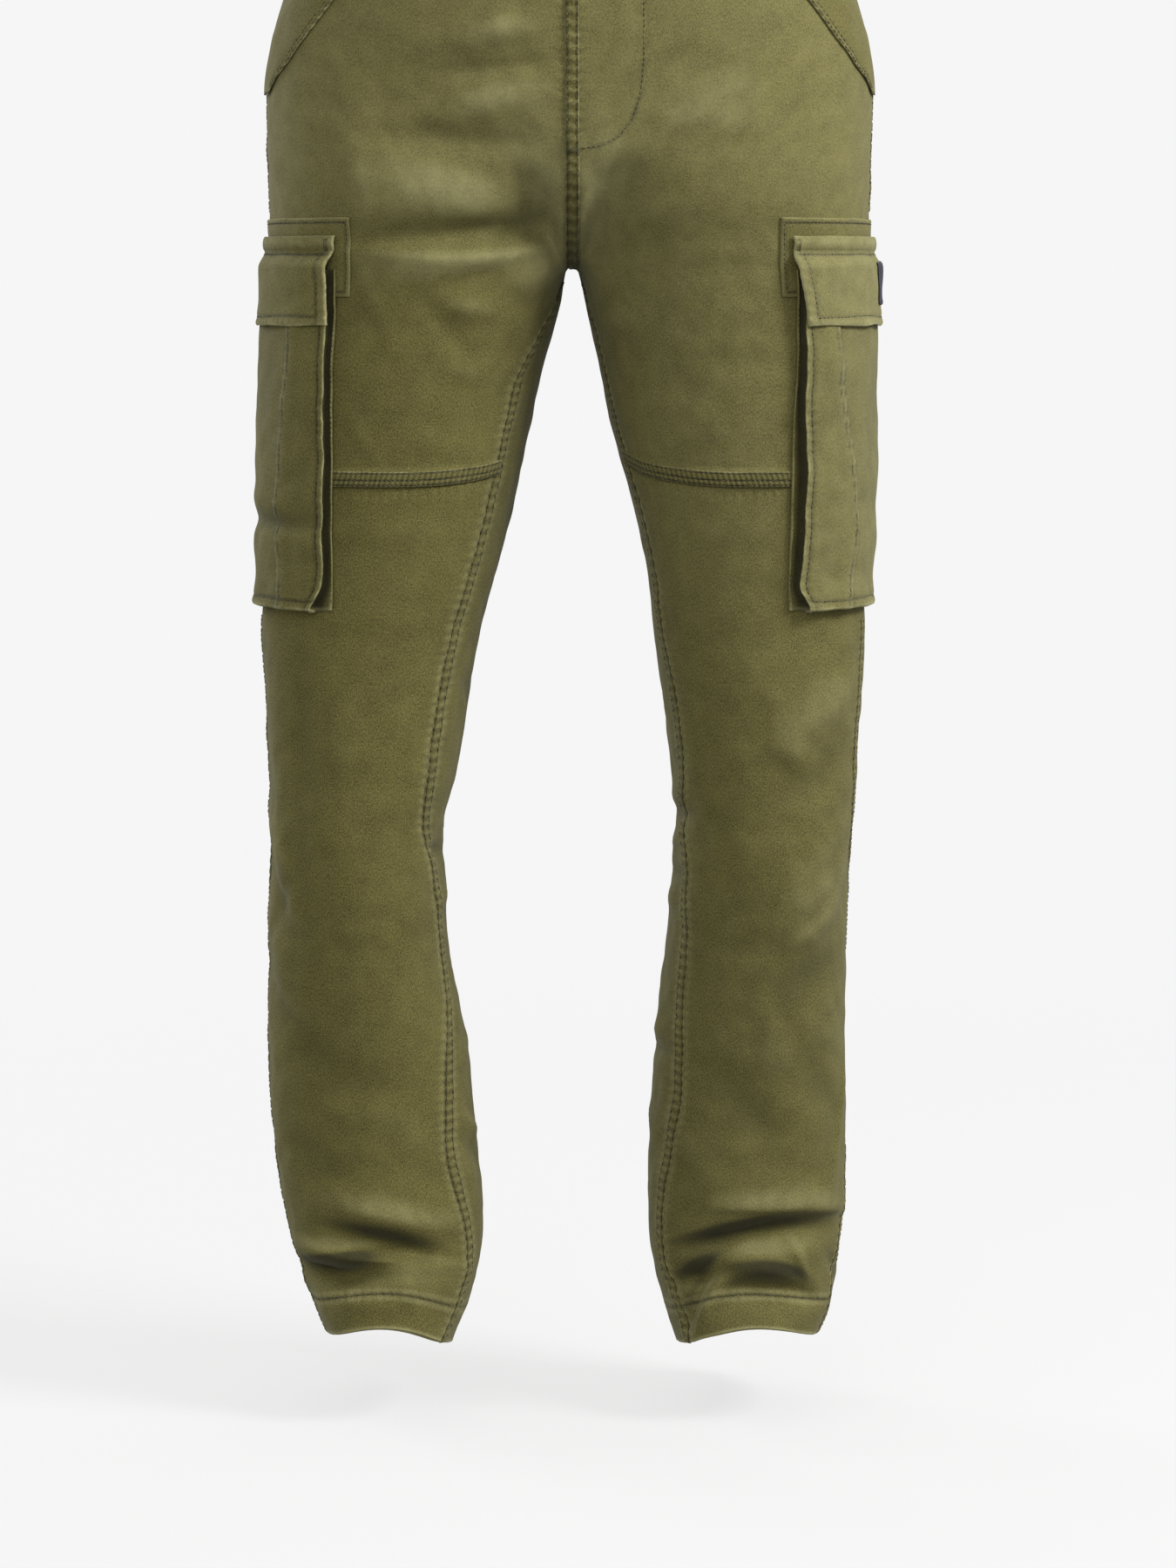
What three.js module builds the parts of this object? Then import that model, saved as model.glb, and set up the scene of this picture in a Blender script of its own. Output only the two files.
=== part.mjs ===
// Cargo trousers in washed cotton twill, standing as they are worn, with nobody in them.
// Millimetres, +Z up, the front towards -Y and the wearer's left towards +X.
// The origin is the middle of the waist, at the waistband's top edge.
import * as THREE from "three";
import { mergeVertices } from "three/addons/utils/BufferGeometryUtils.js";

// Driving sizes
const clothThickness = 1.5;
const seamGap = 0.34; // between two pieces that meet or lie on each other
const waistbandHeight = 40;
const waistbandThickness = 3;
const waistSeamZ = -waistbandHeight;
const crotchZ = -285;
const hemZ = -1047.5; // the middle of a hem's bottom edge
const thighSeamZ = -436;
const frontForkHeight = 80; // how far above the crotch the front seam starts to turn under
const backForkHeight = 125;
const hipJoinZ = -255; // the section is two joined legs below this height
const hipOvalZ = -110; // and an oval above this one
const legFullness = 0.035; // how much squarer than an ellipse a leg is
const hipFullness = 0.05;

const degree = Math.PI / 180;
const rad = (angle) => angle * degree;
const mix = (a, b, t) => a + (b - a) * t;
const clamp01 = (t) => Math.min(1, Math.max(0, t));
const smooth = (from, to, value) => {
  const t = clamp01((value - from) / (to - from));
  return t * t * (3 - 2 * t);
};

// Rows of numbers under named columns, as a list of records.
const table = (columns, rows) =>
  rows.map((row) => Object.fromEntries(columns.map((name, i) => [name, row[i]])));

// The garment's levels. inner and outer are measured sideways from the trousers' centre line, front and back
// from the plane of the side seams. inseam says how far the inside seam sits round to the front, and side how
// far the outside seam does, both in degrees.
const levelColumns = ["z", "inner", "outer", "front", "back", "inseam", "side"];
const levels = {
  right: table(levelColumns, [
    [0, 0, 163, 110, 108, 0, 0],
    [-40, 0, 172, 115, 116, 0, 0],
    [-93, 0, 195, 119, 128, 0, 0],
    [-130, 0, 207, 121, 136, 0, 0],
    [-161, 0, 212, 121, 141, 0, 0],
    [-200, 0, 213, 120, 143, 0, 0],
    [-240, 0, 212, 116, 138, 0, 0],
    [-285, 1.2, 211, 108, 122, 0, 0],
    [-289, 4.2, 211, 107.6, 121, 0.6, 0],
    [-316, 8.8, 211, 105, 113, 19, 0],
    [-353, 19.3, 213, 102, 104, 32, 0],
    [-391, 28, 214, 99, 96, 36, 0],
    [-428, 36, 215, 97, 89, 36, 0],
    [-465, 45, 216, 94, 84, 37, 0],
    [-502, 54, 217, 91, 79, 39, 0],
    [-539, 64, 218.5, 89, 76, 41, 0],
    [-577, 71, 216.5, 88, 74, 43, 0],
    [-614, 77, 215, 87, 74, 44, 0],
    [-651, 84, 213.5, 86, 76, 43, 0],
    [-676, 92, 213.5, 86, 78, 37, 0],
    [-688, 91.5, 213.5, 85, 79, 33, 0],
    [-725, 90, 214.5, 81, 80, 25, 0],
    [-763, 88.5, 215.5, 76, 79, 22, 0],
    [-800, 82, 216.5, 71, 77, 26, 0],
    [-837, 75, 216.5, 67, 75, 36, 0],
    [-874, 71, 215.5, 63, 72, 41, 0],
    [-911, 68, 212.5, 61, 70, 43, 0],
    [-949, 64, 207, 61, 68, 38, 2],
    [-986, 65, 198, 66, 68, 31, 6],
    [-1023, 74, 184.5, 77, 72, 36, 10],
    [-1042, 82, 176, 84, 76, 40, 12],
    [-1058, 88, 171, 87, 78, 42, 12],
  ]),
  left: table(levelColumns, [
    [0, 0, 163, 110, 108, 0, 0],
    [-40, 0, 172, 115, 116, 0, 0],
    [-93, 0, 194, 119, 128, 0, 0],
    [-130, 0, 205.5, 121, 136, 0, 0],
    [-161, 0, 210, 121, 141, 0, 2],
    [-200, 0, 210, 120, 143, 0, 5],
    [-240, 0, 209.5, 116, 138, 0, 8],
    [-285, 1.2, 208.5, 108, 122, 0, 11],
    [-289, 5, 208.5, 107.6, 121, 1.5, 11.4],
    [-316, 11.2, 208.5, 105, 113, 12, 14],
    [-353, 19.3, 210, 102, 104, 17, 16],
    [-391, 27, 209.5, 99, 96, 18, 18],
    [-428, 37, 208.5, 97, 89, 20, 19],
    [-465, 47, 208, 94, 84, 21, 20],
    [-502, 54, 206.5, 91, 79, 22, 21],
    [-539, 58, 207.5, 89, 76, 24, 22],
    [-577, 63, 206, 88, 74, 29, 23],
    [-614, 68, 203.5, 87, 74, 31, 22],
    [-651, 72, 202, 86, 76, 28, 20],
    [-672, 74.5, 200, 85, 78, 23, 16],
    [-700, 72.5, 197.5, 83, 80, 31, 8],
    [-725, 71, 196.5, 80, 80, 33, 0],
    [-763, 68, 196, 75, 79, 37, -8],
    [-800, 63, 195.5, 70, 77, 40, -12],
    [-837, 60, 195.5, 66, 75, 42, -13],
    [-874, 57.5, 196.5, 63, 72, 43, -11],
    [-911, 55.5, 196.5, 61, 70, 38, -4],
    [-949, 55, 195.5, 61, 68, 31, 8],
    [-986, 57, 192, 66, 68, 30, 20],
    [-1023, 66, 186.5, 77, 72, 39, 24],
    [-1042, 72, 178, 84, 76, 39, 22],
    [-1058, 78, 171, 87, 78, 38, 22],
  ]),
};

// The largest folds. at is the angle round the leg, from the inside (0) by the front (90) and the outside (180)
// to the back (270). reach is half the fold's length in degrees, width half its width, and depth how far it
// stands out (or sinks in, below 0). slope is how much it climbs for each degree, and arch how far its ends drop.
const foldColumns = ["at", "z", "reach", "width", "depth", "slope", "arch"];
const folds = {
  right: table(foldColumns, [
    [40, -258, 44, 15, -3.5, -0.25, 0],
    [34, -284, 36, 15, 4, -0.2, 0],
    [60, -172, 46, 22, -2, -0.1, 0],
    [92, -952, 60, 14, 4, 0.2, 0],
    [92, -973, 52, 10, -6, 0.28, 0],
    [118, -984, 66, 9, 4.5, 0.12, 0],
    [124, -997, 58, 11, -9, 0, 4],
    [90, -1011, 60, 9, 3, 0, 3],
    [288, -316, 46, 11, -5, 0.22, 5],
    [290, -338, 42, 12, 3.5, 0.2, 4],
    [285, -664, 60, 12, -4.5, 0.2, 4],
    [262, -686, 58, 11, 4, -0.1, 4],
    [280, -706, 56, 12, -4.5, -0.2, 4],
    [268, -955, 62, 12, -5, 0.12, 4],
    [262, -977, 60, 11, 4.5, -0.08, 5],
    [276, -999, 58, 10, -6, -0.12, 5],
  ]),
  left: table(foldColumns, [
    [46, -270, 40, 15, -2, -0.2, 0],
    [108, -944, 66, 14, 3.5, 0.1, 8],
    [108, -963, 72, 9, -6.5, 0.14, 10],
    [100, -980, 54, 9, 4, 0.1, 4],
    [62, -991, 30, 8, -5, 0.3, 0],
    [102, -1006, 40, 8, -6.5, 0.05, 10],
    [284, -314, 44, 11, -5, -0.2, 5],
    [290, -337, 42, 12, 3.5, -0.18, 4],
    [256, -662, 58, 12, -4.5, -0.16, 4],
    [276, -684, 60, 11, 4, 0.12, 4],
    [260, -704, 56, 12, -4.5, 0.2, 4],
    [272, -950, 62, 12, -5, -0.1, 4],
    [278, -973, 60, 11, 4.5, 0.1, 5],
    [264, -996, 58, 10, -6, 0.14, 5],
  ]),
};

// The value of a column at any height, on a smooth curve through the rows.
function at(rows, column, z) {
  if (z >= rows[0].z) return rows[0][column];
  const last = rows.length - 1;
  const below = rows.findIndex((row) => row.z <= z);
  const i = below < 0 ? last - 1 : below - 1;
  const slope = (k) => {
    const [p, q] = [rows[Math.max(k - 1, 0)], rows[Math.min(k + 1, last)]];
    return (q[column] - p[column]) / (q.z - p.z);
  };
  const [a, b] = [rows[i], rows[i + 1]];
  const span = b.z - a.z;
  const t = Math.min((z - a.z) / span, 1);
  const [t2, t3] = [t * t, t * t * t];
  return (
    (2 * t3 - 3 * t2 + 1) * a[column] +
    (t3 - 2 * t2 + t) * span * slope(i) +
    (3 * t2 - 2 * t3) * b[column] +
    (t3 - t2) * span * slope(i + 1)
  );
}

// The fold's soft profile over an angle: 1 in its middle and 0 at its ends.
function foldFade(offset, reach) {
  const t = Math.abs(offset) / reach;
  return t >= 1 ? 0 : Math.cos((t * Math.PI) / 2) ** 2;
}

function foldDepth(leg, angle, z) {
  let depth = 0;
  for (const fold of folds[leg]) {
    const offset = ((angle - fold.at + 540) % 360) - 180;
    const fade = foldFade(offset, fold.reach);
    if (fade === 0) continue;
    const middle = fold.z + fold.slope * offset - fold.arch * (offset / fold.reach) ** 2;
    depth += fold.depth * fade * Math.exp(-(((z - middle) / fold.width) ** 2));
  }
  return depth;
}

// A point of the cloth without its folds. u runs round one leg from 0 at the inside by 0.25 at the front, 0.5 at
// the outside and 0.75 at the back. Above the crotch u is 0 at the centre front and 1 at the centre back: there
// the two legs' outer halves are joined by a flat front and back, which turn into an oval towards the waist.
function plainPoint(leg, u, z) {
  const rows = levels[leg];
  const value = (column) => at(rows, column, z);
  const [inner, outer, front, back] = ["inner", "outer", "front", "back"].map(value);
  const middle = (inner + outer) / 2;
  const round = 2 * Math.PI * u;
  const legPuff = 1 + legFullness * Math.sin(2 * round) ** 2;
  let across = middle - ((outer - inner) / 2) * Math.cos(round) * legPuff;
  let depth = (back - front) / 2 - ((front + back) / 2) * Math.sin(round) * legPuff;
  if (z > crotchZ) {
    const rise = (z - crotchZ) / mix(frontForkHeight, backForkHeight, smooth(0.35, 0.65, u));
    const fromCentre = Math.min(u, 1 - u);
    let [joinedAcross, joinedDepth] = [across, depth];
    if (fromCentre < 0.25) {
      const share = fromCentre / 0.25;
      joinedAcross = middle * (0.715 * share + 0.285 * share ** 3);
      joinedDepth = u < 0.5 ? -front : back;
    }
    const turn = Math.PI * (u - 0.5);
    const hipPuff = 1 + hipFullness * Math.sin(2 * turn) ** 2;
    const ovalAcross = outer * Math.cos(turn) * hipPuff;
    const ovalDepth = (turn < 0 ? front : back) * Math.sin(turn) * hipPuff;
    const oval = smooth(hipJoinZ, hipOvalZ, z);
    joinedAcross = mix(joinedAcross, ovalAcross, oval);
    joinedDepth = mix(joinedDepth, ovalDepth, oval);
    const climb = Math.min(rise, 1);
    const open = mix(Math.sqrt(1 - (1 - climb) ** 2), smooth(0, 1, climb), smooth(0.06, 0.2, fromCentre));
    across = mix(across, joinedAcross, open);
    depth = mix(depth, joinedDepth, open);
  }
  const side = leg === "left" ? 1 : -1;
  return new THREE.Vector3(side * across, depth, z);
}

// The outward direction of a surface given as a function of u and z.
function outward(pointAt, leg, u, z) {
  const [du, dz] = [0.002, 0.8];
  const alongU = pointAt(leg, u + du, z).sub(pointAt(leg, u - du, z));
  const alongZ = pointAt(leg, u, z + dz).sub(pointAt(leg, u, z - dz));
  const normal = alongU.cross(alongZ).normalize();
  return leg === "left" ? normal : normal.negate();
}

function clothPoint(leg, u, z) {
  const fade = smooth(waistSeamZ, waistSeamZ - 40, z);
  const depth = foldDepth(leg, u * 360, z) * fade;
  const point = plainPoint(leg, u, z);
  if (Math.abs(depth) < 1e-4) return point;
  return point.addScaledVector(outward(plainPoint, leg, u, z), depth);
}

// A point at a height over the cloth's outer face, kept on its own side of the centre seam.
function over(leg, u, z, height) {
  const point = clothPoint(leg, u, z).addScaledVector(outward(clothPoint, leg, u, z), height);
  if (leg === "left") point.x = Math.max(point.x, seamGap / 2);
  else point.x = Math.min(point.x, -seamGap / 2);
  return point;
}

// A closed wall between an outer and an inner face, each a grid of points, with its four rims.
function wall(columns, rows, outerAt, innerAt) {
  const points = [];
  const stride = columns + 1;
  for (const faceAt of [outerAt, innerAt])
    for (let j = 0; j <= rows; j++) for (let i = 0; i <= columns; i++) points.push(faceAt(i, j));
  const inside = stride * (rows + 1);
  const index = [];
  const quad = (a, b, c, d) => index.push(a, b, c, a, c, d);
  for (let j = 0; j < rows; j++)
    for (let i = 0; i < columns; i++) {
      const a = j * stride + i;
      quad(a, a + 1, a + stride + 1, a + stride);
      quad(inside + a, inside + a + stride, inside + a + stride + 1, inside + a + 1);
    }
  for (let i = 0; i < columns; i++) {
    const bottom = rows * stride + i;
    quad(i + 1, i, inside + i, inside + i + 1);
    quad(bottom, bottom + 1, inside + bottom + 1, inside + bottom);
  }
  for (let j = 0; j < rows; j++) {
    const left = j * stride;
    const right = left + columns;
    quad(left, left + stride, inside + left + stride, inside + left);
    quad(right + stride, right, inside + right, inside + right + stride);
  }
  const geometry = new THREE.BufferGeometry();
  geometry.setAttribute("position", new THREE.Float32BufferAttribute(points.flatMap((p) => p.toArray()), 3));
  geometry.setIndex(index);
  return facingOut(geometry);
}

// Turns the faces round if they point inwards.
function facingOut(geometry) {
  const position = geometry.getAttribute("position");
  const index = geometry.index.array;
  const [a, b, c] = [new THREE.Vector3(), new THREE.Vector3(), new THREE.Vector3()];
  let volume = 0;
  for (let i = 0; i < index.length; i += 3) {
    a.fromBufferAttribute(position, index[i]);
    b.fromBufferAttribute(position, index[i + 1]);
    c.fromBufferAttribute(position, index[i + 2]);
    volume += a.dot(b.cross(c));
  }
  if (volume < 0)
    for (let i = 0; i < index.length; i += 3) [index[i + 1], index[i + 2]] = [index[i + 2], index[i + 1]];
  geometry.computeVertexNormals();
  return geometry;
}

const twill = new THREE.MeshStandardMaterial({ color: 0x68633a, roughness: 0.88, metalness: 0 });
const wornTwill = new THREE.MeshStandardMaterial({ color: 0x7b7549, roughness: 0.9, metalness: 0 });
const navyTape = new THREE.MeshStandardMaterial({ color: 0x171a2b, roughness: 0.7, metalness: 0 });
const horn = new THREE.MeshStandardMaterial({ color: 0x3a3524, roughness: 0.45, metalness: 0 });

const trousers = new THREE.Group();
function add(name, geometry, material = twill) {
  const mesh = new THREE.Mesh(geometry, material);
  mesh.name = name;
  trousers.add(mesh);
  return mesh;
}

const insideU = (leg, z) => (z >= crotchZ ? 0 : at(levels[leg], "inseam", z) / 360);
const sideU = (leg, z) => 0.5 - at(levels[leg], "side", z) / 360;

// How far a row of the cloth is moved up or down round the leg, so that rows follow the slanting hem, which is
// lifted by the shoe in front and lowest at the heel, and the thigh seam, which climbs to the inside.
function rowZ(u, z) {
  const round = 2 * Math.PI * u;
  const hemRise = 6.5 * Math.sin(round) - 3.5 * Math.cos(round) + 13 * Math.max(0, Math.sin(round)) ** 3;
  const fromInside = Math.abs(((u * 360 + 180) % 360) - 180);
  const thighRise = 8 * Math.max(0, (85 - fromInside) / 50) ** 2;
  return z + hemRise * smooth(-905, hemZ, z) + thighRise * (1 - smooth(0, 70, Math.abs(z - thighSeamZ)));
}

// Even steps between named heights, without the last one.
const steps = (from, to, count) => Array.from({ length: count }, (_, k) => mix(from, to, k / count));

// Rows that follow the fork: close together where the centre seam turns under.
function forkRows(height, count) {
  const climb = (k) => 1 - Math.cos(rad(90 * (1 - k / count)));
  return Array.from({ length: count }, (_, k) => crotchZ + height * climb(k));
}

const felled = { height: 10.5, thickness: 1.1 }; // the raised band of a thigh seam, along the upper front's edge
const panelRows = {
  frontTop: [...steps(waistSeamZ, crotchZ + frontForkHeight, 6), ...forkRows(frontForkHeight, 5)],
  backTop: [...steps(waistSeamZ, crotchZ + backForkHeight, 4), ...forkRows(backForkHeight, 7)],
  thigh: [-285, -290, -303, -325, -360, -400],
  felledSeam: [thighSeamZ + felled.height + 0.8, thighSeamZ + felled.height],
  calf: [-436, -475, -520, -565, -605, -638, -654, -668, -680, -692, -706, -726, -760, -805, -855, -900],
  ankle: [-930, -940, -949, -957, -964, -971, -978, -985, -992, -999, -1006, -1014, -1026],
};

// One panel of a leg: a wall between two edges that run down the leg. Its outer face is raised by raisedAt(z).
function panel(leg, columns, heights, startU, endU, raisedAt = () => 0) {
  const rows = heights.length - 1;
  const face = (height) => (i, j) => {
    let z = heights[j];
    if (j === 0) z -= seamGap / 2;
    if (j === rows && z !== hemZ) z += seamGap / 2;
    const share = i / columns;
    let u = mix(startU(leg, z), endU(leg, z), share);
    const level = rowZ(u, z);
    u = mix(startU(leg, level), endU(leg, level), share);
    const perU = clothPoint(leg, u + 0.001, level).distanceTo(clothPoint(leg, u - 0.001, level)) / 0.002;
    const shift = (0.5 * seamGap) / perU;
    if (i === 0) u += shift;
    if (i === columns) u -= shift;
    return over(leg, u, level, height);
  };
  const outer = (i, j) => face(raisedAt(heights[j]))(i, j);
  return wall(columns, rows, outer, face(-clothThickness));
}

function legPanels(leg) {
  const { frontTop, backTop, thigh, felledSeam, calf, ankle } = panelRows;
  const inseam = (side, z) => 1 + insideU(side, z);
  const upper = [...frontTop, ...thigh, ...felledSeam, thighSeamZ];
  const whole = [...backTop, ...thigh, ...felledSeam, ...calf, ...ankle, hemZ];
  const raisedAt = (z) => (z <= thighSeamZ + felled.height ? felled.thickness : 0);
  add(`front_upper_${leg}`, panel(leg, 13, upper, insideU, sideU, raisedAt));
  add(`front_lower_${leg}`, panel(leg, 12, [...calf, ...ankle, hemZ], insideU, sideU));
  add(`back_${leg}`, panel(leg, 15, whole, sideU, inseam));
}

// What is sewn on a leg is laid out by the angle from the outside of the leg, towards the front, and the height.
const onSideU = (angle) => 0.5 - angle / 360;

// u of the point of the front that lies a distance sideways from the centre line.
function frontU(leg, across, z) {
  let [low, high] = [0, 0.5];
  for (let step = 0; step < 24; step++) {
    const middle = (low + high) / 2;
    if (Math.abs(clothPoint(leg, middle, z).x) < across) low = middle;
    else high = middle;
  }
  return (low + high) / 2;
}

// The hip piece that laps over the front panel. The hand goes in under its slanting front edge.
const hipPocket = { topZ: -41, bottomZ: -166, lift: 1, thickness: 1.3 };
const hipMouth = table(["z", "across"], [[-41, 112], [-80, 141], [-110, 165], [-133, 183], [-152, 199], [-166, 209]]);

function hipPocketPiece(leg) {
  const [columns, rows] = [10, 9];
  const { topZ, bottomZ, lift, thickness } = hipPocket;
  const face = (height) => (i, j) => {
    const z = mix(topZ, bottomZ, j / rows);
    const mouth = frontU(leg, Math.min(at(hipMouth, "across", z), at(levels[leg], "outer", z) - 1.5), z);
    return over(leg, mix(mouth, sideU(leg, z) - 0.003, i / columns), z, height);
  };
  return wall(columns, rows, face(lift + thickness), face(lift));
}

// The cargo pocket: a stay sewn flat on the leg, a bellows bag on it and a flap over the bag's mouth. Angles are
// measured from the outside of the leg towards the front. The three pieces share the angles of the bag's face.
const stay = {
  topZ: -252.5,
  bottomZ: -306.5,
  front: { right: 66, left: 69.5 },
  back: -60,
  lift: 0.85,
  thickness: 0.8,
};
const bag = { topZ: -288, bottomZ: -521.5, wall: 1.4, stand: 6.6, frontStand: 9.5 };
const flap = {
  topZ: -264.5,
  bottomZ: -326.5,
  welted: { right: 60.8, left: 65.2 },
  front: { right: 61, left: 64 },
  back: -56,
  wall: 2.2,
  welt: 3.2,
};
const stayTop = stay.lift + stay.thickness + seamGap;

// The bag hangs straight while the leg tapers, so its edges come round the leg further down: where its bellows is
// sewn to the leg in front (leg) and behind (heel), and the edges of its face (front, back).
const bagEdgeColumns = ["z", "leg", "front", "back", "heel"];
const bagEdges = {
  right: table(bagEdgeColumns, [
    [-288, 60.5, 58.5, -49, -54],
    [-328, 61.2, 59.5, -49, -54],
    [-377, 63, 61, -51, -56],
    [-437, 66, 62.5, -55, -60],
    [-473, 68, 64, -58, -63],
    [-521.5, 71.5, 66.2, -61.5, -66.5],
  ]),
  left: table(bagEdgeColumns, [
    [-288, 63.5, 62, -49, -54],
    [-328, 64.7, 63.2, -49, -54],
    [-383, 68.5, 65.5, -52, -57],
    [-437, 72, 66.5, -56, -61],
    [-473, 74.5, 69.5, -59, -64],
    [-521.5, 76.6, 72.6, -62.5, -67.5],
  ]),
};
const bagEdge = (leg, edge, z) => at(bagEdges[leg], edge, z);
const faceShares = [...steps(0, 1, 15), 1];
function faceAngles(leg, z) {
  return faceShares.map((share) => mix(bagEdge(leg, "front", z), bagEdge(leg, "back", z), share));
}

// How far the bag's face stands off the leg. It stands most at its front edge and sinks in at two soft dents.
function bagStand(leg, angle, z) {
  const front = bagEdge(leg, "leg", z);
  const heel = bagEdge(leg, "heel", z);
  const edge = smooth(front - 30, front - 6, angle) + 0.6 * smooth(heel + 26, heel + 6, angle);
  const dent = 1.4 * Math.exp(-(((z + 452) / 12) ** 2)) * smooth(-50, 10, angle);
  const foot = 1.2 * Math.exp(-(((z + 500) / 12) ** 2));
  return mix(bag.stand, bag.frontStand, clamp01(edge)) - dent - foot;
}

// The height of the leg's own surface under the bag: the stay lies under the bag's top.
const groundUnderBag = (z) => mix(1.15, stayTop, smooth(-316, -308, z));

function cargoBag(leg) {
  const downs = [-297, -306, -316, -328, -352, -380, -408, -434, -452, -470, -485, -498, -510];
  const heights = [bag.topZ, ...downs, bag.bottomZ];
  const rows = heights.length;
  const columns = faceShares.length + 1;
  const inset = bag.wall / 97 / degree; // the gusset's thickness as an angle of the leg
  const face = (inside) => (i, j) => {
    const onGround = i === 0 || i === columns || j === rows;
    const floor = bag.bottomZ + (inside ? bag.wall : 0);
    const z = Math.max(heights[Math.min(j, rows - 1)], floor);
    let angle = faceAngles(leg, z)[Math.min(Math.max(i - 1, 0), faceShares.length - 1)];
    if (i === 0) angle = bagEdge(leg, "leg", z);
    if (i === columns) angle = bagEdge(leg, "heel", z);
    if (inside && i <= 1) angle -= inset;
    if (inside && i >= columns - 1) angle += inset;
    const height = onGround ? groundUnderBag(z) : bagStand(leg, angle, z) - (inside ? bag.wall : 0);
    return over(leg, onSideU(angle), z, height);
  };
  return wall(columns, rows, face(false), face(true));
}

// How far the flap's inner face stands off the leg: on the stay along its welt, then out over the bag's mouth.
function flapStand(leg, angle, z) {
  return mix(stayTop, bagStand(leg, angle, z) + seamGap + 0.15, smooth(-273.5, -286, z));
}

function cargoFlap(leg) {
  const heights = [flap.topZ, -273, -274.5, -280, -288, -297, -306, -316, flap.bottomZ];
  const rows = heights.length - 1;
  const face = (outside) => (i, j) => {
    const z = heights[j];
    const front = mix(flap.welted[leg], flap.front[leg], smooth(-273.5, -286, z));
    const angle = [front, ...faceAngles(leg, z), flap.back][i];
    const thickness = j < 2 ? flap.welt : flap.wall;
    return over(leg, onSideU(angle), z, flapStand(leg, angle, z) + (outside ? thickness : 0));
  };
  return wall(faceShares.length + 1, rows, face(true), face(false));
}

function cargoStay(leg) {
  const face = (height) => (i, j) => {
    const z = mix(stay.topZ, stay.bottomZ, j / 3);
    const angle = [stay.front[leg], ...faceAngles(leg, z), flap.back, stay.back][i];
    return over(leg, onSideU(angle), z, height);
  };
  return wall(faceShares.length + 2, 3, face(stay.lift + stay.thickness), face(stay.lift));
}

// A bare woven tab sewn on the left flap.
const tab = { topZ: -281.5, bottomZ: -311.5, front: 19, back: -9, thickness: 0.9 };
function flapTab(leg) {
  const [columns, rows] = [5, 4];
  const face = (height) => (i, j) => {
    const z = mix(tab.topZ, tab.bottomZ, j / rows);
    const angle = mix(tab.front, tab.back, i / columns);
    return over(leg, onSideU(angle), z, flapStand(leg, angle, z) + flap.wall + 0.5 + height);
  };
  return wall(columns, rows, face(tab.thickness), face(0));
}

// The waistband: one band that starts under the lap at the centre front, runs by the wearer's right side and the
// back, and laps over its own start.
const lap = { overX: -5, underX: 30, rise: 3.6, riseFrom: 326, riseTo: 344.5 };
function waistband() {
  const [columns, rows] = [50, 2];
  const waistAngle = (x) => Math.asin(x / levels.left[0].outer) / degree;
  const [start, end] = [-waistAngle(lap.underX), 360 - waistAngle(lap.overX)];
  const face = (height) => (i, j) => {
    const turn = mix(start, end, i / columns);
    const z = mix(0, waistSeamZ + seamGap / 2, j / rows);
    const leg = turn < 0 || (turn > 180 && turn <= 360) ? "left" : "right";
    const u = Math.abs(turn < 180 ? turn : turn - 360) / 180;
    const raised = lap.rise * smooth(lap.riseFrom, lap.riseTo, turn) + height;
    return plainPoint(leg, u, z).addScaledVector(outward(plainPoint, leg, Math.max(u, 1e-3), z), raised);
  };
  return wall(columns, rows, face(waistbandThickness / 2), face(-waistbandThickness / 2));
}

// The raised edge of the fly, from the waist seam down to the crotch, over the join of the two fronts.
const flyEdge = { rightX: -4, leftX: 5.5, topZ: -41, bottomZ: -258, lift: 0.9, thickness: 1.2 };
function flyBand() {
  const [columns, rows] = [3, 14];
  const face = (height) => (i, j) => {
    const z = mix(flyEdge.topZ, flyEdge.bottomZ, j / rows);
    const x = mix(flyEdge.rightX, flyEdge.leftX, i / columns);
    const leg = x < 0 ? "right" : "left";
    let u = 0;
    for (let step = 0; step < 30 && Math.abs(clothPoint(leg, u, z).x) < Math.abs(x); step++) u += 0.0012;
    const point = clothPoint(leg, Math.max(u, 0.0005), z);
    const normal = outward(clothPoint, leg, Math.max(u, 0.003), z);
    normal.x *= 0.3;
    point.addScaledVector(normal.normalize(), flyEdge.lift + height);
    point.x = x;
    return point;
  };
  return wall(columns, rows, face(flyEdge.thickness), face(0));
}

// The waist button: a dished disc with a raised rim.
const button = { radius: 8.5, thickness: 3, rim: 1.6, dish: 0.9, x: 12, z: -20 };
function waistButton() {
  const { radius, thickness, rim, dish } = button;
  const profile = [
    [0, 0],
    [radius - 0.8, 0],
    [radius, 0.8],
    [radius, thickness - 0.7],
    [radius - 0.6, thickness],
    [radius - rim, thickness],
    [radius - rim - 1, thickness - dish],
    [0, thickness - dish],
  ].map(([r, h]) => new THREE.Vector2(r, h));
  const geometry = new THREE.LatheGeometry(profile, 18);
  for (const name of ["normal", "uv"]) geometry.deleteAttribute(name);
  return mergeVertices(geometry, 1e-3);
}

add("waistband", waistband());
for (const leg of ["right", "left"]) {
  legPanels(leg);
  add(`hip_pocket_${leg}`, hipPocketPiece(leg));
  add(`cargo_stay_${leg}`, cargoStay(leg));
  add(`cargo_bag_${leg}`, cargoBag(leg));
  add(`cargo_flap_${leg}`, cargoFlap(leg), wornTwill);
}
add("fly_edge", flyBand());
add("flap_tab", flapTab("left"), navyTape);

const buttonMesh = add("waist_button", waistButton(), horn);
const bandFront = plainPoint("left", 0, button.z - button.radius).y - waistbandThickness / 2 - lap.rise;
buttonMesh.position.set(button.x, bandFront - seamGap, button.z);
buttonMesh.rotation.x = rad(180);

export default trousers;
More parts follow.
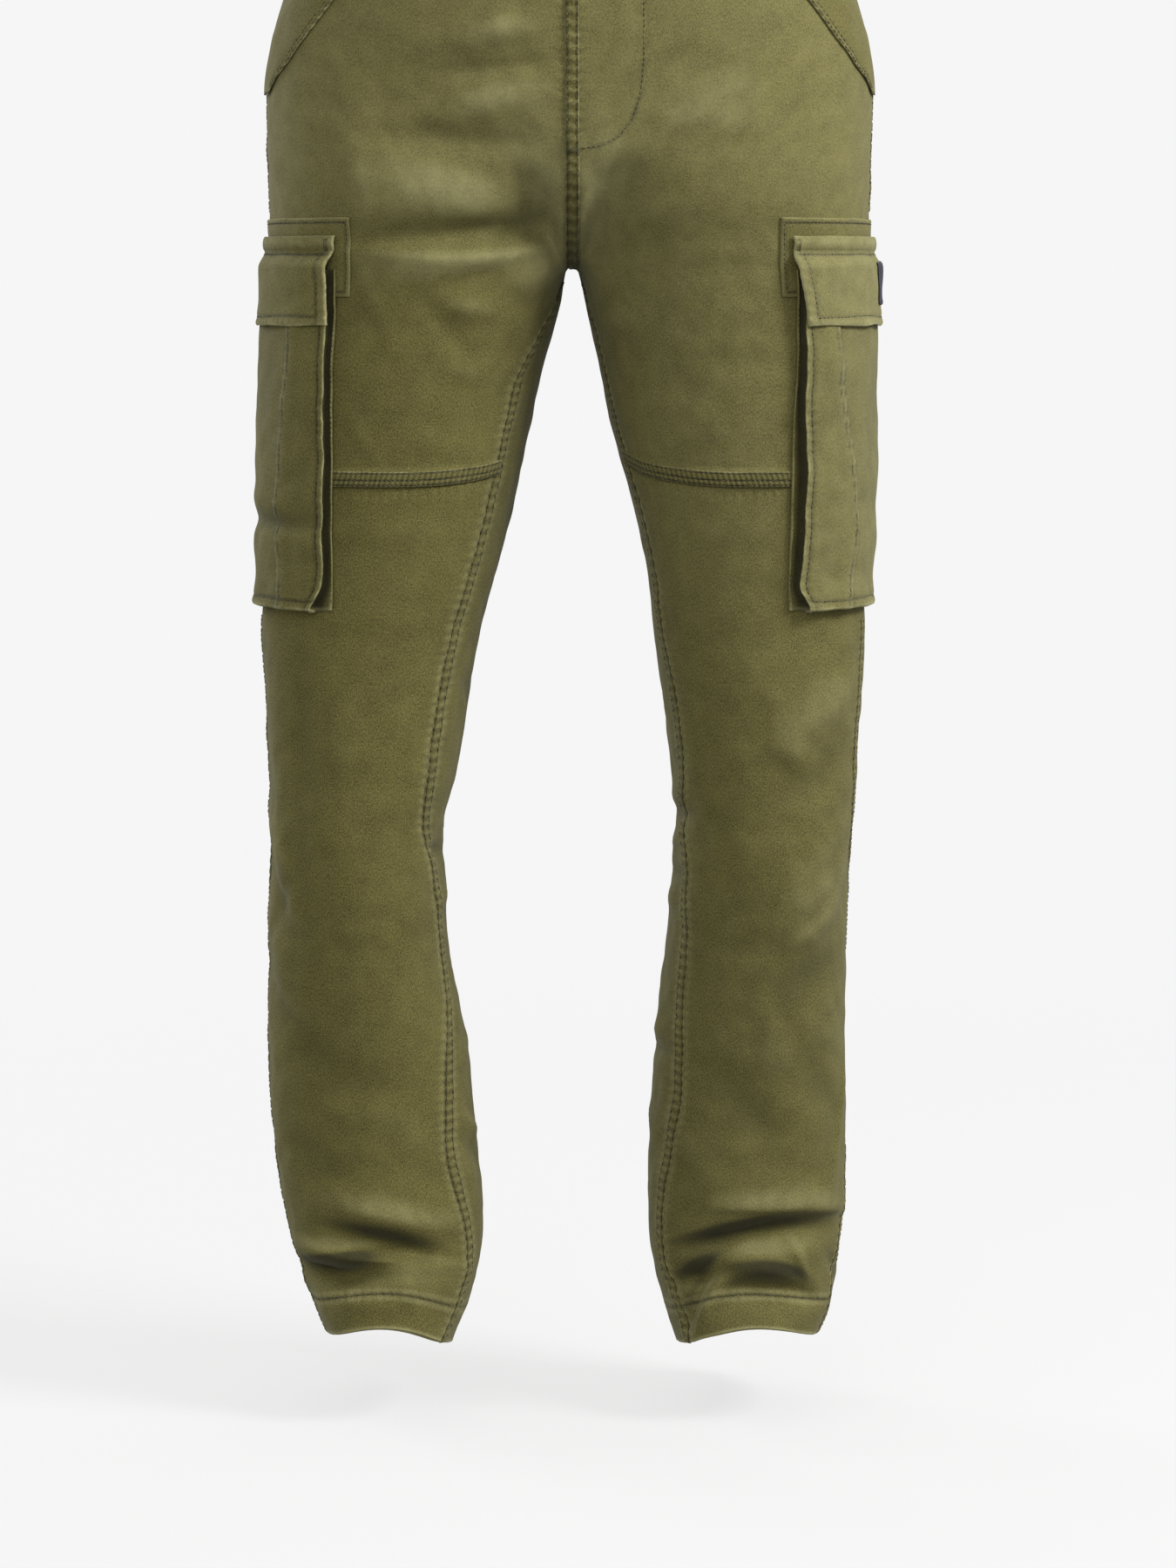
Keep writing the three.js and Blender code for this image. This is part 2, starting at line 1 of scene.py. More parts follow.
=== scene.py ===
# Cargo trousers in washed olive twill, standing as they are worn with nobody in them.
# Sizes are in millimetres and degrees, and every piece is brought to metres when its mesh is made.
# The front looks towards -Y, and the wearer's left is +X.
import math
import bpy
import bmesh
import numpy as np
from mathutils import Matrix, Vector


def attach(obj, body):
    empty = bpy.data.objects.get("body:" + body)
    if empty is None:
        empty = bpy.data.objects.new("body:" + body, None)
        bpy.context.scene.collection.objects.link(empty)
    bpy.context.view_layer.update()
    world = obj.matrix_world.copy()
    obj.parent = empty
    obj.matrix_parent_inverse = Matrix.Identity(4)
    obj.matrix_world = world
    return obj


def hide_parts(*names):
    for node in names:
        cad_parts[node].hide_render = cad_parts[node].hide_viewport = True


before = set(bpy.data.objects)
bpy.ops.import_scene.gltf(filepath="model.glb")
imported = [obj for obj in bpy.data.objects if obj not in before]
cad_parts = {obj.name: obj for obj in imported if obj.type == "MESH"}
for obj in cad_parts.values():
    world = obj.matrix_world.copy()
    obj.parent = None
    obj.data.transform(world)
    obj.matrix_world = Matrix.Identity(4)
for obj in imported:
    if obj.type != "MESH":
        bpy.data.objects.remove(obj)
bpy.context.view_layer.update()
mm = 0.001
body = "root"

# The garment's sizes and levels, the same as the solids'. A level has its inner and outer sides from the
# centre line, front and back from the side seams' plane, and how far the inside and outside seams sit round
# to the front, in degrees.
cut = dict(
    cloth=1.5, gap=0.34, band=40.0, crotch=-285.0, hem=-1047.5, thighSeam=-436.0, frontFork=80.0,
    backFork=125.0, hipJoin=-255.0, hipOval=-110.0, legFull=0.035, hipFull=0.05, forkStep=2.2,
    hemFrom=-905.0, hemTilt=6.5, hemLean=3.5, hemArch=13.0, thighRise=8.0, legMiddle=105.0,
)
waistSeam = -cut["band"]
levelColumns = ["z", "inner", "outer", "front", "back", "inseam", "side"]
legLevels = {
    "right": [
        [0, 0, 163, 110, 108, 0, 0], [-40, 0, 172, 115, 116, 0, 0], [-93, 0, 195, 119, 128, 0, 0],
        [-130, 0, 207, 121, 136, 0, 0], [-161, 0, 212, 121, 141, 0, 0], [-200, 0, 213, 120, 143, 0, 0],
        [-240, 0, 212, 116, 138, 0, 0], [-285, 1.2, 211, 108, 122, 0, 0],
        [-289, 4.2, 211, 107.6, 121, 0.6, 0], [-316, 8.8, 211, 105, 113, 19, 0],
        [-353, 19.3, 213, 102, 104, 32, 0], [-391, 28, 214, 99, 96, 36, 0], [-428, 36, 215, 97, 89, 36, 0],
        [-465, 45, 216, 94, 84, 37, 0], [-502, 54, 217, 91, 79, 39, 0], [-539, 64, 218.5, 89, 76, 41, 0],
        [-577, 71, 216.5, 88, 74, 43, 0], [-614, 77, 215, 87, 74, 44, 0], [-651, 84, 213.5, 86, 76, 43, 0],
        [-676, 92, 213.5, 86, 78, 37, 0], [-688, 91.5, 213.5, 85, 79, 33, 0],
        [-725, 90, 214.5, 81, 80, 25, 0], [-763, 88.5, 215.5, 76, 79, 22, 0],
        [-800, 82, 216.5, 71, 77, 26, 0], [-837, 75, 216.5, 67, 75, 36, 0],
        [-874, 71, 215.5, 63, 72, 41, 0], [-911, 68, 212.5, 61, 70, 43, 0], [-949, 64, 207, 61, 68, 38, 2],
        [-986, 65, 198, 66, 68, 31, 6], [-1023, 74, 184.5, 77, 72, 36, 10],
        [-1042, 82, 176, 84, 76, 40, 12], [-1058, 88, 171, 87, 78, 42, 12],
    ],
    "left": [
        [0, 0, 163, 110, 108, 0, 0], [-40, 0, 172, 115, 116, 0, 0], [-93, 0, 194, 119, 128, 0, 0],
        [-130, 0, 205.5, 121, 136, 0, 0], [-161, 0, 210, 121, 141, 0, 2], [-200, 0, 210, 120, 143, 0, 5],
        [-240, 0, 209.5, 116, 138, 0, 8], [-285, 1.2, 208.5, 108, 122, 0, 11],
        [-289, 5, 208.5, 107.6, 121, 1.5, 11.4], [-316, 11.2, 208.5, 105, 113, 12, 14],
        [-353, 19.3, 210, 102, 104, 17, 16], [-391, 27, 209.5, 99, 96, 18, 18],
        [-428, 37, 208.5, 97, 89, 20, 19], [-465, 47, 208, 94, 84, 21, 20],
        [-502, 54, 206.5, 91, 79, 22, 21], [-539, 58, 207.5, 89, 76, 24, 22],
        [-577, 63, 206, 88, 74, 29, 23], [-614, 68, 203.5, 87, 74, 31, 22], [-651, 72, 202, 86, 76, 28, 20],
        [-672, 74.5, 200, 85, 78, 23, 16], [-700, 72.5, 197.5, 83, 80, 31, 8],
        [-725, 71, 196.5, 80, 80, 33, 0], [-763, 68, 196, 75, 79, 37, -8],
        [-800, 63, 195.5, 70, 77, 40, -12], [-837, 60, 195.5, 66, 75, 42, -13],
        [-874, 57.5, 196.5, 63, 72, 43, -11], [-911, 55.5, 196.5, 61, 70, 38, -4],
        [-949, 55, 195.5, 61, 68, 31, 8], [-986, 57, 192, 66, 68, 30, 20],
        [-1023, 66, 186.5, 77, 72, 39, 24], [-1042, 72, 178, 84, 76, 39, 22],
        [-1058, 78, 171, 87, 78, 38, 22],
    ],
}

# The largest folds, the same as the solids': the angle round the leg from the inside (0) by the front (90)
# and the outside (180), height, half length in degrees, half width, depth, climb for each degree, and arch.
legFolds = {
    "right": [
        [40, -258, 44, 15, -3.5, -0.25, 0], [34, -284, 36, 15, 4, -0.2, 0], [60, -172, 46, 22, -2, -0.1, 0],
        [92, -952, 60, 14, 4, 0.2, 0], [92, -973, 52, 10, -6, 0.28, 0], [118, -984, 66, 9, 4.5, 0.12, 0],
        [124, -997, 58, 11, -9, 0, 4], [90, -1011, 60, 9, 3, 0, 3], [288, -316, 46, 11, -5, 0.22, 5],
        [290, -338, 42, 12, 3.5, 0.2, 4], [285, -664, 60, 12, -4.5, 0.2, 4],
        [262, -686, 58, 11, 4, -0.1, 4], [280, -706, 56, 12, -4.5, -0.2, 4],
        [268, -955, 62, 12, -5, 0.12, 4], [262, -977, 60, 11, 4.5, -0.08, 5],
        [276, -999, 58, 10, -6, -0.12, 5],
    ],
    "left": [
        [46, -270, 40, 15, -2, -0.2, 0], [108, -944, 66, 14, 3.5, 0.1, 8],
        [108, -963, 72, 9, -6.5, 0.14, 10], [100, -980, 54, 9, 4, 0.1, 4], [62, -991, 30, 8, -5, 0.3, 0],
        [102, -1006, 40, 8, -6.5, 0.05, 10], [284, -314, 44, 11, -5, -0.2, 5],
        [290, -337, 42, 12, 3.5, -0.18, 4], [256, -662, 58, 12, -4.5, -0.16, 4],
        [276, -684, 60, 11, 4, 0.12, 4], [260, -704, 56, 12, -4.5, 0.2, 4],
        [272, -950, 62, 12, -5, -0.1, 4], [278, -973, 60, 11, 4.5, 0.1, 5],
        [264, -996, 58, 10, -6, 0.14, 5],
    ],
}

# Smaller creases, each from one end to the other, in degrees round the leg and height: how far its middle
# bows up, its half width above and below its line, and its depth.
legCreases = {
    "right": [
        # hips and thigh
        [46, -137, 12, -124, 2, 10, 9, 3.4], [56, -157, 6, -148, 0, 5, 5, -2.4],
        [72, -186, 10, -167, 2, 11, 12, 4.8], [100, -198, 8, -210, 3, 9, 9, -3.4],
        [108, -234, 44, -247, 5, 17, 16, 5.6], [112, -269, 18, -261, 3, 7, 5, -4.6],
        [112, -277, 18, -263, -10, 7, 18, 5.6], [86, -299, 22, -274, 0, 8, 11, -3.8],
        [80, -310, 54, -318, 0, 7, 8, 2.6], [106, -198, 111, -262, 0, 5, 6, 1.6],
        [117, -200, 121, -258, 0, 4, 5, -1.4], [114, -275, 92, -352, 0, 4, 5, 1.1],
        [91, -300, 58, -356, 0, 6, 6, -1.6], [112, -380, 94, -426, 0, 5, 5, 1.0],
        [76, -349, 50, -366, 0, 8, 9, 1.4], [54, -390, 30, -356, 0, 8, 7, -1.3],
        [84, -398, 62, -418, 0, 8, 9, 1.1], [58, -560, 116, -596, 5, 18, 22, -1.2],
        # knee and shin
        [127, -535, 124, -724, 0, 11, 13, -2.2], [152, -590, 142, -716, 0, 14, 10, 1.7],
        [98, -570, 104, -664, 0, 18, 14, 1.4], [182, -694, 126, -754, 5, 8, 12, -2.8],
        [182, -664, 130, -714, 4, 13, 8, 2.4], [182, -772, 124, -828, 5, 8, 12, -2.4],
        [182, -738, 128, -788, 4, 13, 9, 2.0], [70, -700, 100, -760, 0, 16, 18, 1.5],
        [144, -826, 90, -860, 4, 14, 18, -2.0], [112, -880, 48, -902, 4, 16, 18, 1.8],
        [156, -898, 96, -934, 5, 16, 12, -2.0], [-6, -682, 32, -672, 0, 8, 4, 2.6],
        [-6, -698, 38, -688, 0, 4, 7, -4.2], [-6, -724, 28, -734, 0, 8, 8, 1.8],
        [148, -672, 132, -716, 0, 5, 6, 1.6], [129, -706, 176, -792, 0, 8, 8, -2.0],
        [-6, -590, 30, -574, 0, 8, 6, -2.0], [-6, -830, 24, -846, 0, 7, 7, 1.4],
        [344, -400, 352, -500, 0, 5, 5, 2.6], [334, -420, 344, -540, 0, 5, 6, -2.6],
        [350, -590, 336, -690, 0, 6, 7, 2.0],
        # ankle
        [124, -961, 44, -984, 0, 9, 4, -3.0], [142, -975, 30, -992, 0, 3.5, 7, 4.2],
        [162, -994, 74, -983, -2, 3.5, 10, -8.6], [175, -1006, 36, -1000, 2, 7, 8, 3.4],
        [107, -947, 40, -963, 0, 12, 8, 2.6], [36, -882, -2, -908, 3, 3, 8, 2.8],
        [32, -902, -2, -928, 2, 6, 8, -2.4],
        # behind
        [190, -640, 250, -610, 0, 14, 12, 2.0], [200, -720, 262, -748, 4, 12, 14, -2.2],
        [210, -560, 280, -590, 0, 16, 12, 1.8], [230, -160, 320, -196, -6, 14, 18, 2.2],
        [300, -230, 346, -268, 0, 9, 12, -2.6], [292, -372, 340, -344, 0, 10, 12, 2.0],
        [215, -820, 300, -850, 5, 16, 14, 1.9], [230, -900, 310, -884, -4, 14, 10, -2.2],
        [196, -940, 240, -966, 0, 10, 8, 2.4],
    ],
    "left": [
        # hips and thigh
        [34, -180, 94, -190, 4, 26, 14, 2.8], [6, -217, 64, -228, 0, 12, 12, -1.5],
        [20, -250, 76, -262, 0, 16, 14, 1.6], [22, -308, 72, -344, 4, 10, 12, 1.6],
        [28, -338, 82, -380, 4, 10, 12, -1.3], [50, -404, 100, -392, 3, 12, 12, 1.0],
        [60, -556, 112, -598, 5, 20, 20, 1.2],
        # knee and shin
        [98, -610, 148, -572, 0, 22, 16, 4.2], [88, -652, 152, -622, 0, 15, 15, -3.8],
        [102, -744, 152, -690, 4, 24, 18, 4.6], [94, -800, 152, -768, 4, 15, 18, -3.8],
        [92, -852, 150, -815, 3, 18, 16, 2.2], [54, -836, 112, -918, 6, 14, 18, -2.6],
        [62, -690, 84, -780, 0, 18, 14, -1.4], [146, -716, 104, -760, -4, 6, 10, 3.2],
        [92, -600, 122, -644, 0, 12, 12, 2.4], [147, -688, 114, -718, 0, 8, 8, -2.2],
        [104, -812, 160, -900, 0, 12, 14, -2.6], [92, -790, 104, -840, 0, 12, 10, 1.8],
        [167, -835, 144, -934, 2, 3, 8, 2.6], [30, -870, 66, -930, 2, 12, 12, 1.8],
        [-6, -660, 32, -655, 0, 8, 4, 2.2], [-6, -671, 36, -667, 0, 4, 6, -3.4],
        [-6, -692, 30, -685, 0, 8, 5, 2.2], [-6, -713, 34, -708, 0, 4, 7, -3.4],
        [-6, -734, 30, -728, 0, 9, 6, 2.0], [-6, -828, 30, -823, 0, 8, 4, 2.4],
        [-6, -840, 34, -837, 0, 3.5, 6, -3.8], [-6, -885, 24, -896, 0, 6, 8, 1.6],
        # ankle
        [70, -946, 178, -958, 3, 10, 3, 3.0], [38, -977, 114, -953, 0, 3.5, 9, -5.5],
        [34, -1004, 76, -988, 0, 4, 6, -5.5], [74, -991, 48, -1038, 0, 2.5, 9, 4.2],
        [64, -994, 40, -1036, 0, 6, 2.5, -3.6], [68, -1004, 136, -1012, 10, 4, 5, -5.5],
        [80, -987, 118, -991, 0, 7, 7, 3.0], [114, -970, 130, -1002, 0, 3, 4, 2.6],
        [142, -982, 176, -1013, 0, 5, 6, -2.6],
        # behind
        [190, -640, 250, -616, 0, 14, 12, 2.2], [204, -726, 262, -752, 4, 12, 14, -2.2],
        [210, -566, 280, -584, 0, 16, 12, 1.8], [230, -170, 320, -190, -6, 14, 18, 2.2],
        [296, -236, 346, -262, 0, 9, 12, -2.6], [290, -366, 338, -342, 0, 10, 12, 2.0],
        [215, -830, 300, -856, 5, 16, 14, 1.9], [228, -906, 310, -890, -4, 14, 10, -2.2],
        [196, -946, 240, -970, 0, 10, 8, 2.4],
    ],
}
# a slight rumple all over: waves as round and down per millimetre, start and height
rumples = [
    [0.21, 0.09, 0.4, 0.22], [-0.13, 0.17, 2.1, 0.24], [0.07, 0.26, 4.0, 0.16], [0.31, -0.12, 1.2, 0.13],
    [0.11, 0.05, 5.2, 0.3], [-0.24, 0.28, 3.3, 0.1],
]


def mix(a, b, t):
    return a + (b - a) * t


def smooth(low, high, value):
    t = np.clip((value - low) / (high - low), 0.0, 1.0)
    return t * t * (3 - 2 * t)


def bell(x, width):
    # one in the middle, falling away on both sides
    return np.exp(-((x / width) ** 2))


def wrapped(angle):
    # the same angle between -180 and 180
    return (angle + 180) % 360 - 180


def spread(u, z):
    # both as arrays of one shape
    return np.broadcast_arrays(np.asarray(u, float), np.asarray(z, float))


def curve(rows, k, z):
    # the value of column k at any height, on a smooth curve through the rows
    rows = np.array(rows, float)
    heights, values = rows[:, 0], rows[:, k]
    slopes = np.empty_like(values)
    slopes[1:-1] = (values[2:] - values[:-2]) / (heights[2:] - heights[:-2])
    slopes[0] = (values[1] - values[0]) / (heights[1] - heights[0])
    slopes[-1] = (values[-1] - values[-2]) / (heights[-1] - heights[-2])
    z = np.asarray(z, float)
    i = np.clip(np.searchsorted(-heights, -z, side="right") - 1, 0, len(heights) - 2)
    span = heights[i + 1] - heights[i]
    t = np.clip((z - heights[i]) / span, 0.0, 1.0)
    return (
        (2 * t**3 - 3 * t**2 + 1) * values[i]
        + (t**3 - 2 * t**2 + t) * span * slopes[i]
        + (3 * t**2 - 2 * t**3) * values[i + 1]
        + (t**3 - t**2) * span * slopes[i + 1]
    )


def column(leg, name, z):
    return curve(legLevels[leg], levelColumns.index(name), z)


def ring(leg, z):
    # the four sides of a leg at any height
    return [column(leg, name, z) for name in ("inner", "outer", "front", "back")]


def plainPoints(leg, u, z):
    # u runs round one leg: 0 inside, 0.25 front, 0.5 outside, 0.75 back
    u, z = spread(u, z)
    inner, outer, front, back = ring(leg, z)
    fromCentre = np.minimum(u, 1 - u)
    # the step under the fork stays near the inside of the leg
    step = smooth(-285, -289, z) * (1 - smooth(-289, -316, z))
    inner = inner - cut["forkStep"] * step * smooth(0.02, 0.12, fromCentre)
    middle = (inner + outer) / 2
    turn = 2 * math.pi * u
    full = 1 + cut["legFull"] * np.sin(2 * turn) ** 2
    across = middle - (outer - inner) / 2 * np.cos(turn) * full
    depth = (back - front) / 2 - (front + back) / 2 * np.sin(turn) * full
    above = z > cut["crotch"]
    rise = (z - cut["crotch"]) / mix(cut["frontFork"], cut["backFork"], smooth(0.35, 0.65, u))
    climb = np.clip(rise, 0.0, 1.0)
    share = np.clip(fromCentre / 0.25, -1.0, 1.0)
    flat = fromCentre < 0.25
    joinedAcross = np.where(flat, middle * (0.715 * share + 0.285 * share**3), across)
    joinedDepth = np.where(flat, np.where(u < 0.5, -front, back), depth)
    hipTurn = math.pi * (u - 0.5)
    hipFull = 1 + cut["hipFull"] * np.sin(2 * hipTurn) ** 2
    ovalAcross = outer * np.cos(hipTurn) * hipFull
    ovalDepth = np.where(hipTurn < 0, front, back) * np.sin(hipTurn) * hipFull
    oval = smooth(cut["hipJoin"], cut["hipOval"], z)
    joinedAcross = mix(joinedAcross, ovalAcross, oval)
    joinedDepth = mix(joinedDepth, ovalDepth, oval)
    opened = mix(np.sqrt(1 - (1 - climb) ** 2), smooth(0, 1, climb), smooth(0.02, 0.11, fromCentre))
    across = np.where(above, mix(across, joinedAcross, opened), across)
    depth = np.where(above, mix(depth, joinedDepth, opened), depth)
    side = 1 if leg == "left" else -1
    return np.stack([side * across, depth, z], axis=-1)


def outward(pointsAt, leg, u, z):
    alongU = pointsAt(leg, u + 0.002, z) - pointsAt(leg, u - 0.002, z)
    alongZ = pointsAt(leg, u, z + 0.8) - pointsAt(leg, u, z - 0.8)
    normal = np.cross(alongU, alongZ)
    normal /= np.maximum(np.linalg.norm(normal, axis=-1, keepdims=True), 1e-9)
    return normal if leg == "left" else -normal


def foldDepth(leg, angle, z):
    depth = np.zeros(np.broadcast(angle, z).shape)
    for at, height, reach, width, deep, slope, arch in legFolds[leg]:
        offset = wrapped(angle - at)
        fade = np.where(np.abs(offset) < reach, np.cos(np.clip(offset / reach, -1, 1) * math.pi / 2) ** 2, 0)
        middle = height + slope * offset - arch * (offset / reach) ** 2
        depth += deep * fade * bell(z - middle, width)
    return depth


def creaseDepth(leg, angle, z):
    # a crease is a soft bent line: the surface rises or sinks across it and fades towards its ends
    depth = np.zeros(np.broadcast(angle, z).shape)
    perDegree = 1.4  # millimetres
    for at0, z0, at1, z1, bow, above, below, deep in legCreases[leg]:
        along = np.array([(at1 - at0) * perDegree, z1 - z0])
        length = np.linalg.norm(along)
        along /= length
        s = wrapped(angle - at0) * perDegree
        t = z - z0
        share = (s * along[0] + t * along[1]) / length
        across = -s * along[1] + t * along[0]
        if along[0] < 0:
            across = -across
        across = across - bow * (1 - (2 * share - 1) ** 2)
        fade = np.where((share > -0.25) & (share < 1.25), np.cos((share - 0.5) / 1.5 * math.pi) ** 2, 0)
        width = np.where(across > 0, above, below)
        depth += deep * fade * bell(across, width)
    around = np.sin(np.radians(angle)) * 90 + (7 if leg == "left" else 0)
    for fast, down, start, high in rumples:
        swell = np.sin(z * 0.031 + 2 * start + around * 0.02)
        depth += high * np.sin(around * fast + z * down + start) * swell
    return depth


def clothPoints(leg, u, z, creased=True):
    u, z = spread(u, z)
    depth = foldDepth(leg, u * 360, z)
    if creased:
        depth = depth + creaseDepth(leg, u * 360, z)
    depth = depth * smooth(waistSeam, waistSeam - 40, z)
    return plainPoints(leg, u, z) + outward(plainPoints, leg, u, z) * depth[..., None]


def over(leg, u, z, height):
    # points at a height over the cloth's outer face, kept on their own side of the centre seam
    u, z = spread(u, z)
    height = np.broadcast_to(height, u.shape)
    points = clothPoints(leg, u, z) + outward(clothPoints, leg, u, z) * height[..., None]
    half = cut["gap"] / 2
    points[..., 0] = np.maximum(points[..., 0], half) if leg == "left" else np.minimum(points[..., 0], -half)
    return points


def insideU(leg, z):
    return np.where(np.asarray(z) >= cut["crotch"], 0.0, column(leg, "inseam", z) / 360)


def sideU(leg, z):
    return 0.5 - column(leg, "side", z) / 360


def rowZ(u, z):
    # rows follow the slanting hem and the climbing thigh seam
    turn = 2 * math.pi * u
    hemRise = cut["hemTilt"] * np.sin(turn) - cut["hemLean"] * np.cos(turn)
    hemRise = hemRise + cut["hemArch"] * np.maximum(0, np.sin(turn)) ** 3
    thighRise = cut["thighRise"] * np.maximum(0, (85 - np.abs(wrapped(u * 360))) / 50) ** 2
    near = 1 - smooth(0, 70, np.abs(z - cut["thighSeam"]))
    return z + hemRise * smooth(cut["hemFrom"], cut["hem"], z) + thighRise * near


def noise(x, seed):
    # smooth wandering values between -1 and 1 along a line
    rng = np.random.default_rng(seed)
    total = 0.0
    for k, weight in enumerate([0.5, 0.3, 0.2]):
        rate, shift = (0.6 + 0.8 * rng.random()) * 1.9**k, rng.random() * 6.28
        total = total + weight * np.sin(x * rate + shift)
    return total


# shader maths: a socket wrapped so that an expression adds its Math nodes
class Value:
    def __init__(self, tree, socket):
        self.tree, self.socket = tree, socket

    def calc(self, operation, other=None, swap=False):
        node = self.tree.nodes.new("ShaderNodeMath")
        node.operation = operation
        terms = [self] if other is None else ([other, self] if swap else [self, other])
        for slot, term in enumerate(terms):
            link(self.tree, term, node.inputs[slot])
        return Value(self.tree, node.outputs[0])

    def __add__(self, other):
        return self.calc("ADD", other)

    def __sub__(self, other):
        return self.calc("SUBTRACT", other)

    def __rsub__(self, other):
        return self.calc("SUBTRACT", other, True)

    def __mul__(self, other):
        return self.calc("MULTIPLY", other)

    def __truediv__(self, other):
        return self.calc("DIVIDE", other)

    def sin(self):
        return self.calc("SINE")

    def clip(self):
        held = self.calc("MULTIPLY", 1.0)
        held.socket.node.use_clamp = True
        return held

    __radd__, __rmul__ = __add__, __mul__


def link(tree, term, socket):
    if isinstance(term, Value):
        tree.links.new(term.socket, socket)
    else:
        socket.default_value = term


def addNode(tree, kind, settings, values):
    # settings first, then the values or links of the node's sockets
    node = tree.nodes.new(kind)
    for key, setting in (settings or {}).items():
        setattr(node, key, setting)
    for key, term in values.items():
        socket = node.inputs[int(key[1:])] if key[0] == "i" and key[1:].isdigit() else node.inputs[key]
        link(tree, term, socket)
    return node


class Shader:
    # one material with its tree, its principled shader and short calls for the nodes that cloth needs
    def __init__(self, name):
        self.material = bpy.data.materials.new(name)
        self.material.use_nodes = True
        self.tree = self.material.node_tree
        self.surface = self.tree.nodes["Principled BSDF"]

    def wrap(self, socket):
        return Value(self.tree, socket)

    def node(self, kind, settings=None, **values):
        return addNode(self.tree, kind, settings, values)

    def attribute(self, name):
        return self.wrap(self.node("ShaderNodeAttribute", {"attribute_name": name}).outputs["Fac"])

    def place(self):
        return self.node("ShaderNodeTexCoord").outputs["Object"]

    def weave(self):
        return self.node("ShaderNodeUVMap", {"uv_map": "weave"}).outputs["UV"]

    def split(self, vector):
        parts = self.node("ShaderNodeSeparateXYZ", i0=self.wrap(vector)).outputs
        return self.wrap(parts[0]), self.wrap(parts[1])

    def stretched(self, vector, scale):
        node = self.node("ShaderNodeMapping", Vector=self.wrap(vector), Scale=scale)
        return node.outputs["Vector"]

    def noise(self, vector, scale, detail=2.0, rough=0.5):
        node = self.node(
            "ShaderNodeTexNoise", Vector=self.wrap(vector), Scale=scale, Detail=detail, Roughness=rough
        )
        return self.wrap(node.outputs["Fac"])

    def blend(self, factor, a, b):
        node = self.node("ShaderNodeMix", {"data_type": "RGBA"}, i0=factor)
        for slot, colour in ((6, a), (7, b)):
            if isinstance(colour, tuple):
                node.inputs[slot].default_value = (*colour, 1)
            else:
                self.tree.links.new(colour, node.inputs[slot])
        return node.outputs[2]

    def bump(self, height, distance, strength=1.0, below=None):
        node = self.node("ShaderNodeBump", Height=height, Distance=distance, Strength=strength)
        if below is not None:
            self.tree.links.new(below, node.inputs["Normal"])
        return node.outputs["Normal"]

    def finish(self, colour, normal, rough):
        self.tree.links.new(colour, self.surface.inputs["Base Color"])
        self.tree.links.new(normal, self.surface.inputs["Normal"])
        self.surface.inputs["Roughness"].default_value = rough
        return self.material


# dark and light are the cloth's own tones; deep is the colour of painted shade, and the pale colour after it
# is worn cloth and painted highlight
twillLook = dict(
    dark=(0.053, 0.0455, 0.0094), light=(0.182, 0.163, 0.046), worn=(0.41, 0.387, 0.188),
    deep=(0.015, 0.013, 0.0035), twillPitch=0.00085, puckerPitch=0.0072, puckerPitchAcross=0.0068,
    cloud=14, mottle=75, slub=1500, grain=900, rumple=42, rough=0.86,
)


def twillShader():
    look = twillLook
    shade = Shader("washedTwill")
    weave = shade.weave()
    across, along = shade.split(weave)
    cloud = shade.noise(weave, look["cloud"], 3, 0.55)
    mottle = shade.noise(shade.stretched(weave, (1, 0.7, 1)), look["mottle"], 3, 0.6)
    slub = shade.noise(shade.stretched(weave, (1.0, 0.3, 1)), look["slub"], 2, 0.6)
    grain = shade.noise(weave, look["grain"], 3, 0.75)
    tone = (cloud - 0.5) * 0.45 + (mottle - 0.5) * 0.5 + (slub - 0.5) * 1.4 + (grain - 0.5) * 3.1 + 0.5
    colour = shade.blend(tone.clip(), look["dark"], look["light"])
    # painted shade: darker in troughs, stitch grooves and hollows
    sunk = shade.attribute("deep") * (0.66 + mottle * 0.5)
    colour = shade.blend(sunk.clip(), colour, look["deep"])
    # paler where the cloth is worn, and painted highlight on ridges, over the hips, beside the fork and on
    # the left thigh
    wearAndHighlightShare = shade.attribute("worn") * (0.35 + mottle * 0.9 + (slub - 0.5) * 0.8)
    colour = shade.blend(wearAndHighlightShare.clip(), colour, look["worn"])
    # right-hand twill lines, slubs, and puckers beside the seams
    lines = ((across * 0.55 + along * 0.85) * (2 * math.pi / look["twillPitch"])).sin()
    normal = shade.bump(lines * 0.5 + slub, 0.00006, 0.7)
    drift = (mottle - 0.5) * 0.006
    waves = ((along + drift) * (2 * math.pi / look["puckerPitch"])).sin() * shade.attribute("pucker")
    wavesAcross = ((across + drift) * (2 * math.pi / look["puckerPitchAcross"])).sin()
    waves = waves + wavesAcross * shade.attribute("puckerAcross")
    rumple = shade.noise(weave, look["rumple"], 2, 0.5)
    normal = shade.bump(waves * 0.0005 + rumple * 0.0011, 1.0, 0.85, normal)
    surface = shade.surface.inputs
    surface["Specular IOR Level"].default_value = 0.28
    surface["Sheen Weight"].default_value = 0.12
    surface["Sheen Roughness"].default_value = 0.5
    surface["Sheen Tint"].default_value = (0.8, 0.8, 0.6, 1)
    return shade.finish(colour, normal, look["rough"])


def threadShader():
    shade = Shader("thread")
    place = shade.place()
    worn = shade.noise(place, 130, 2)
    colour = shade.blend(((worn - 0.42) * 4).clip(), (0.022, 0.019, 0.007), (0.15, 0.138, 0.064))
    return shade.finish(colour, shade.bump(shade.noise(place, 4000, 1), 0.0001, 0.5), 0.75)


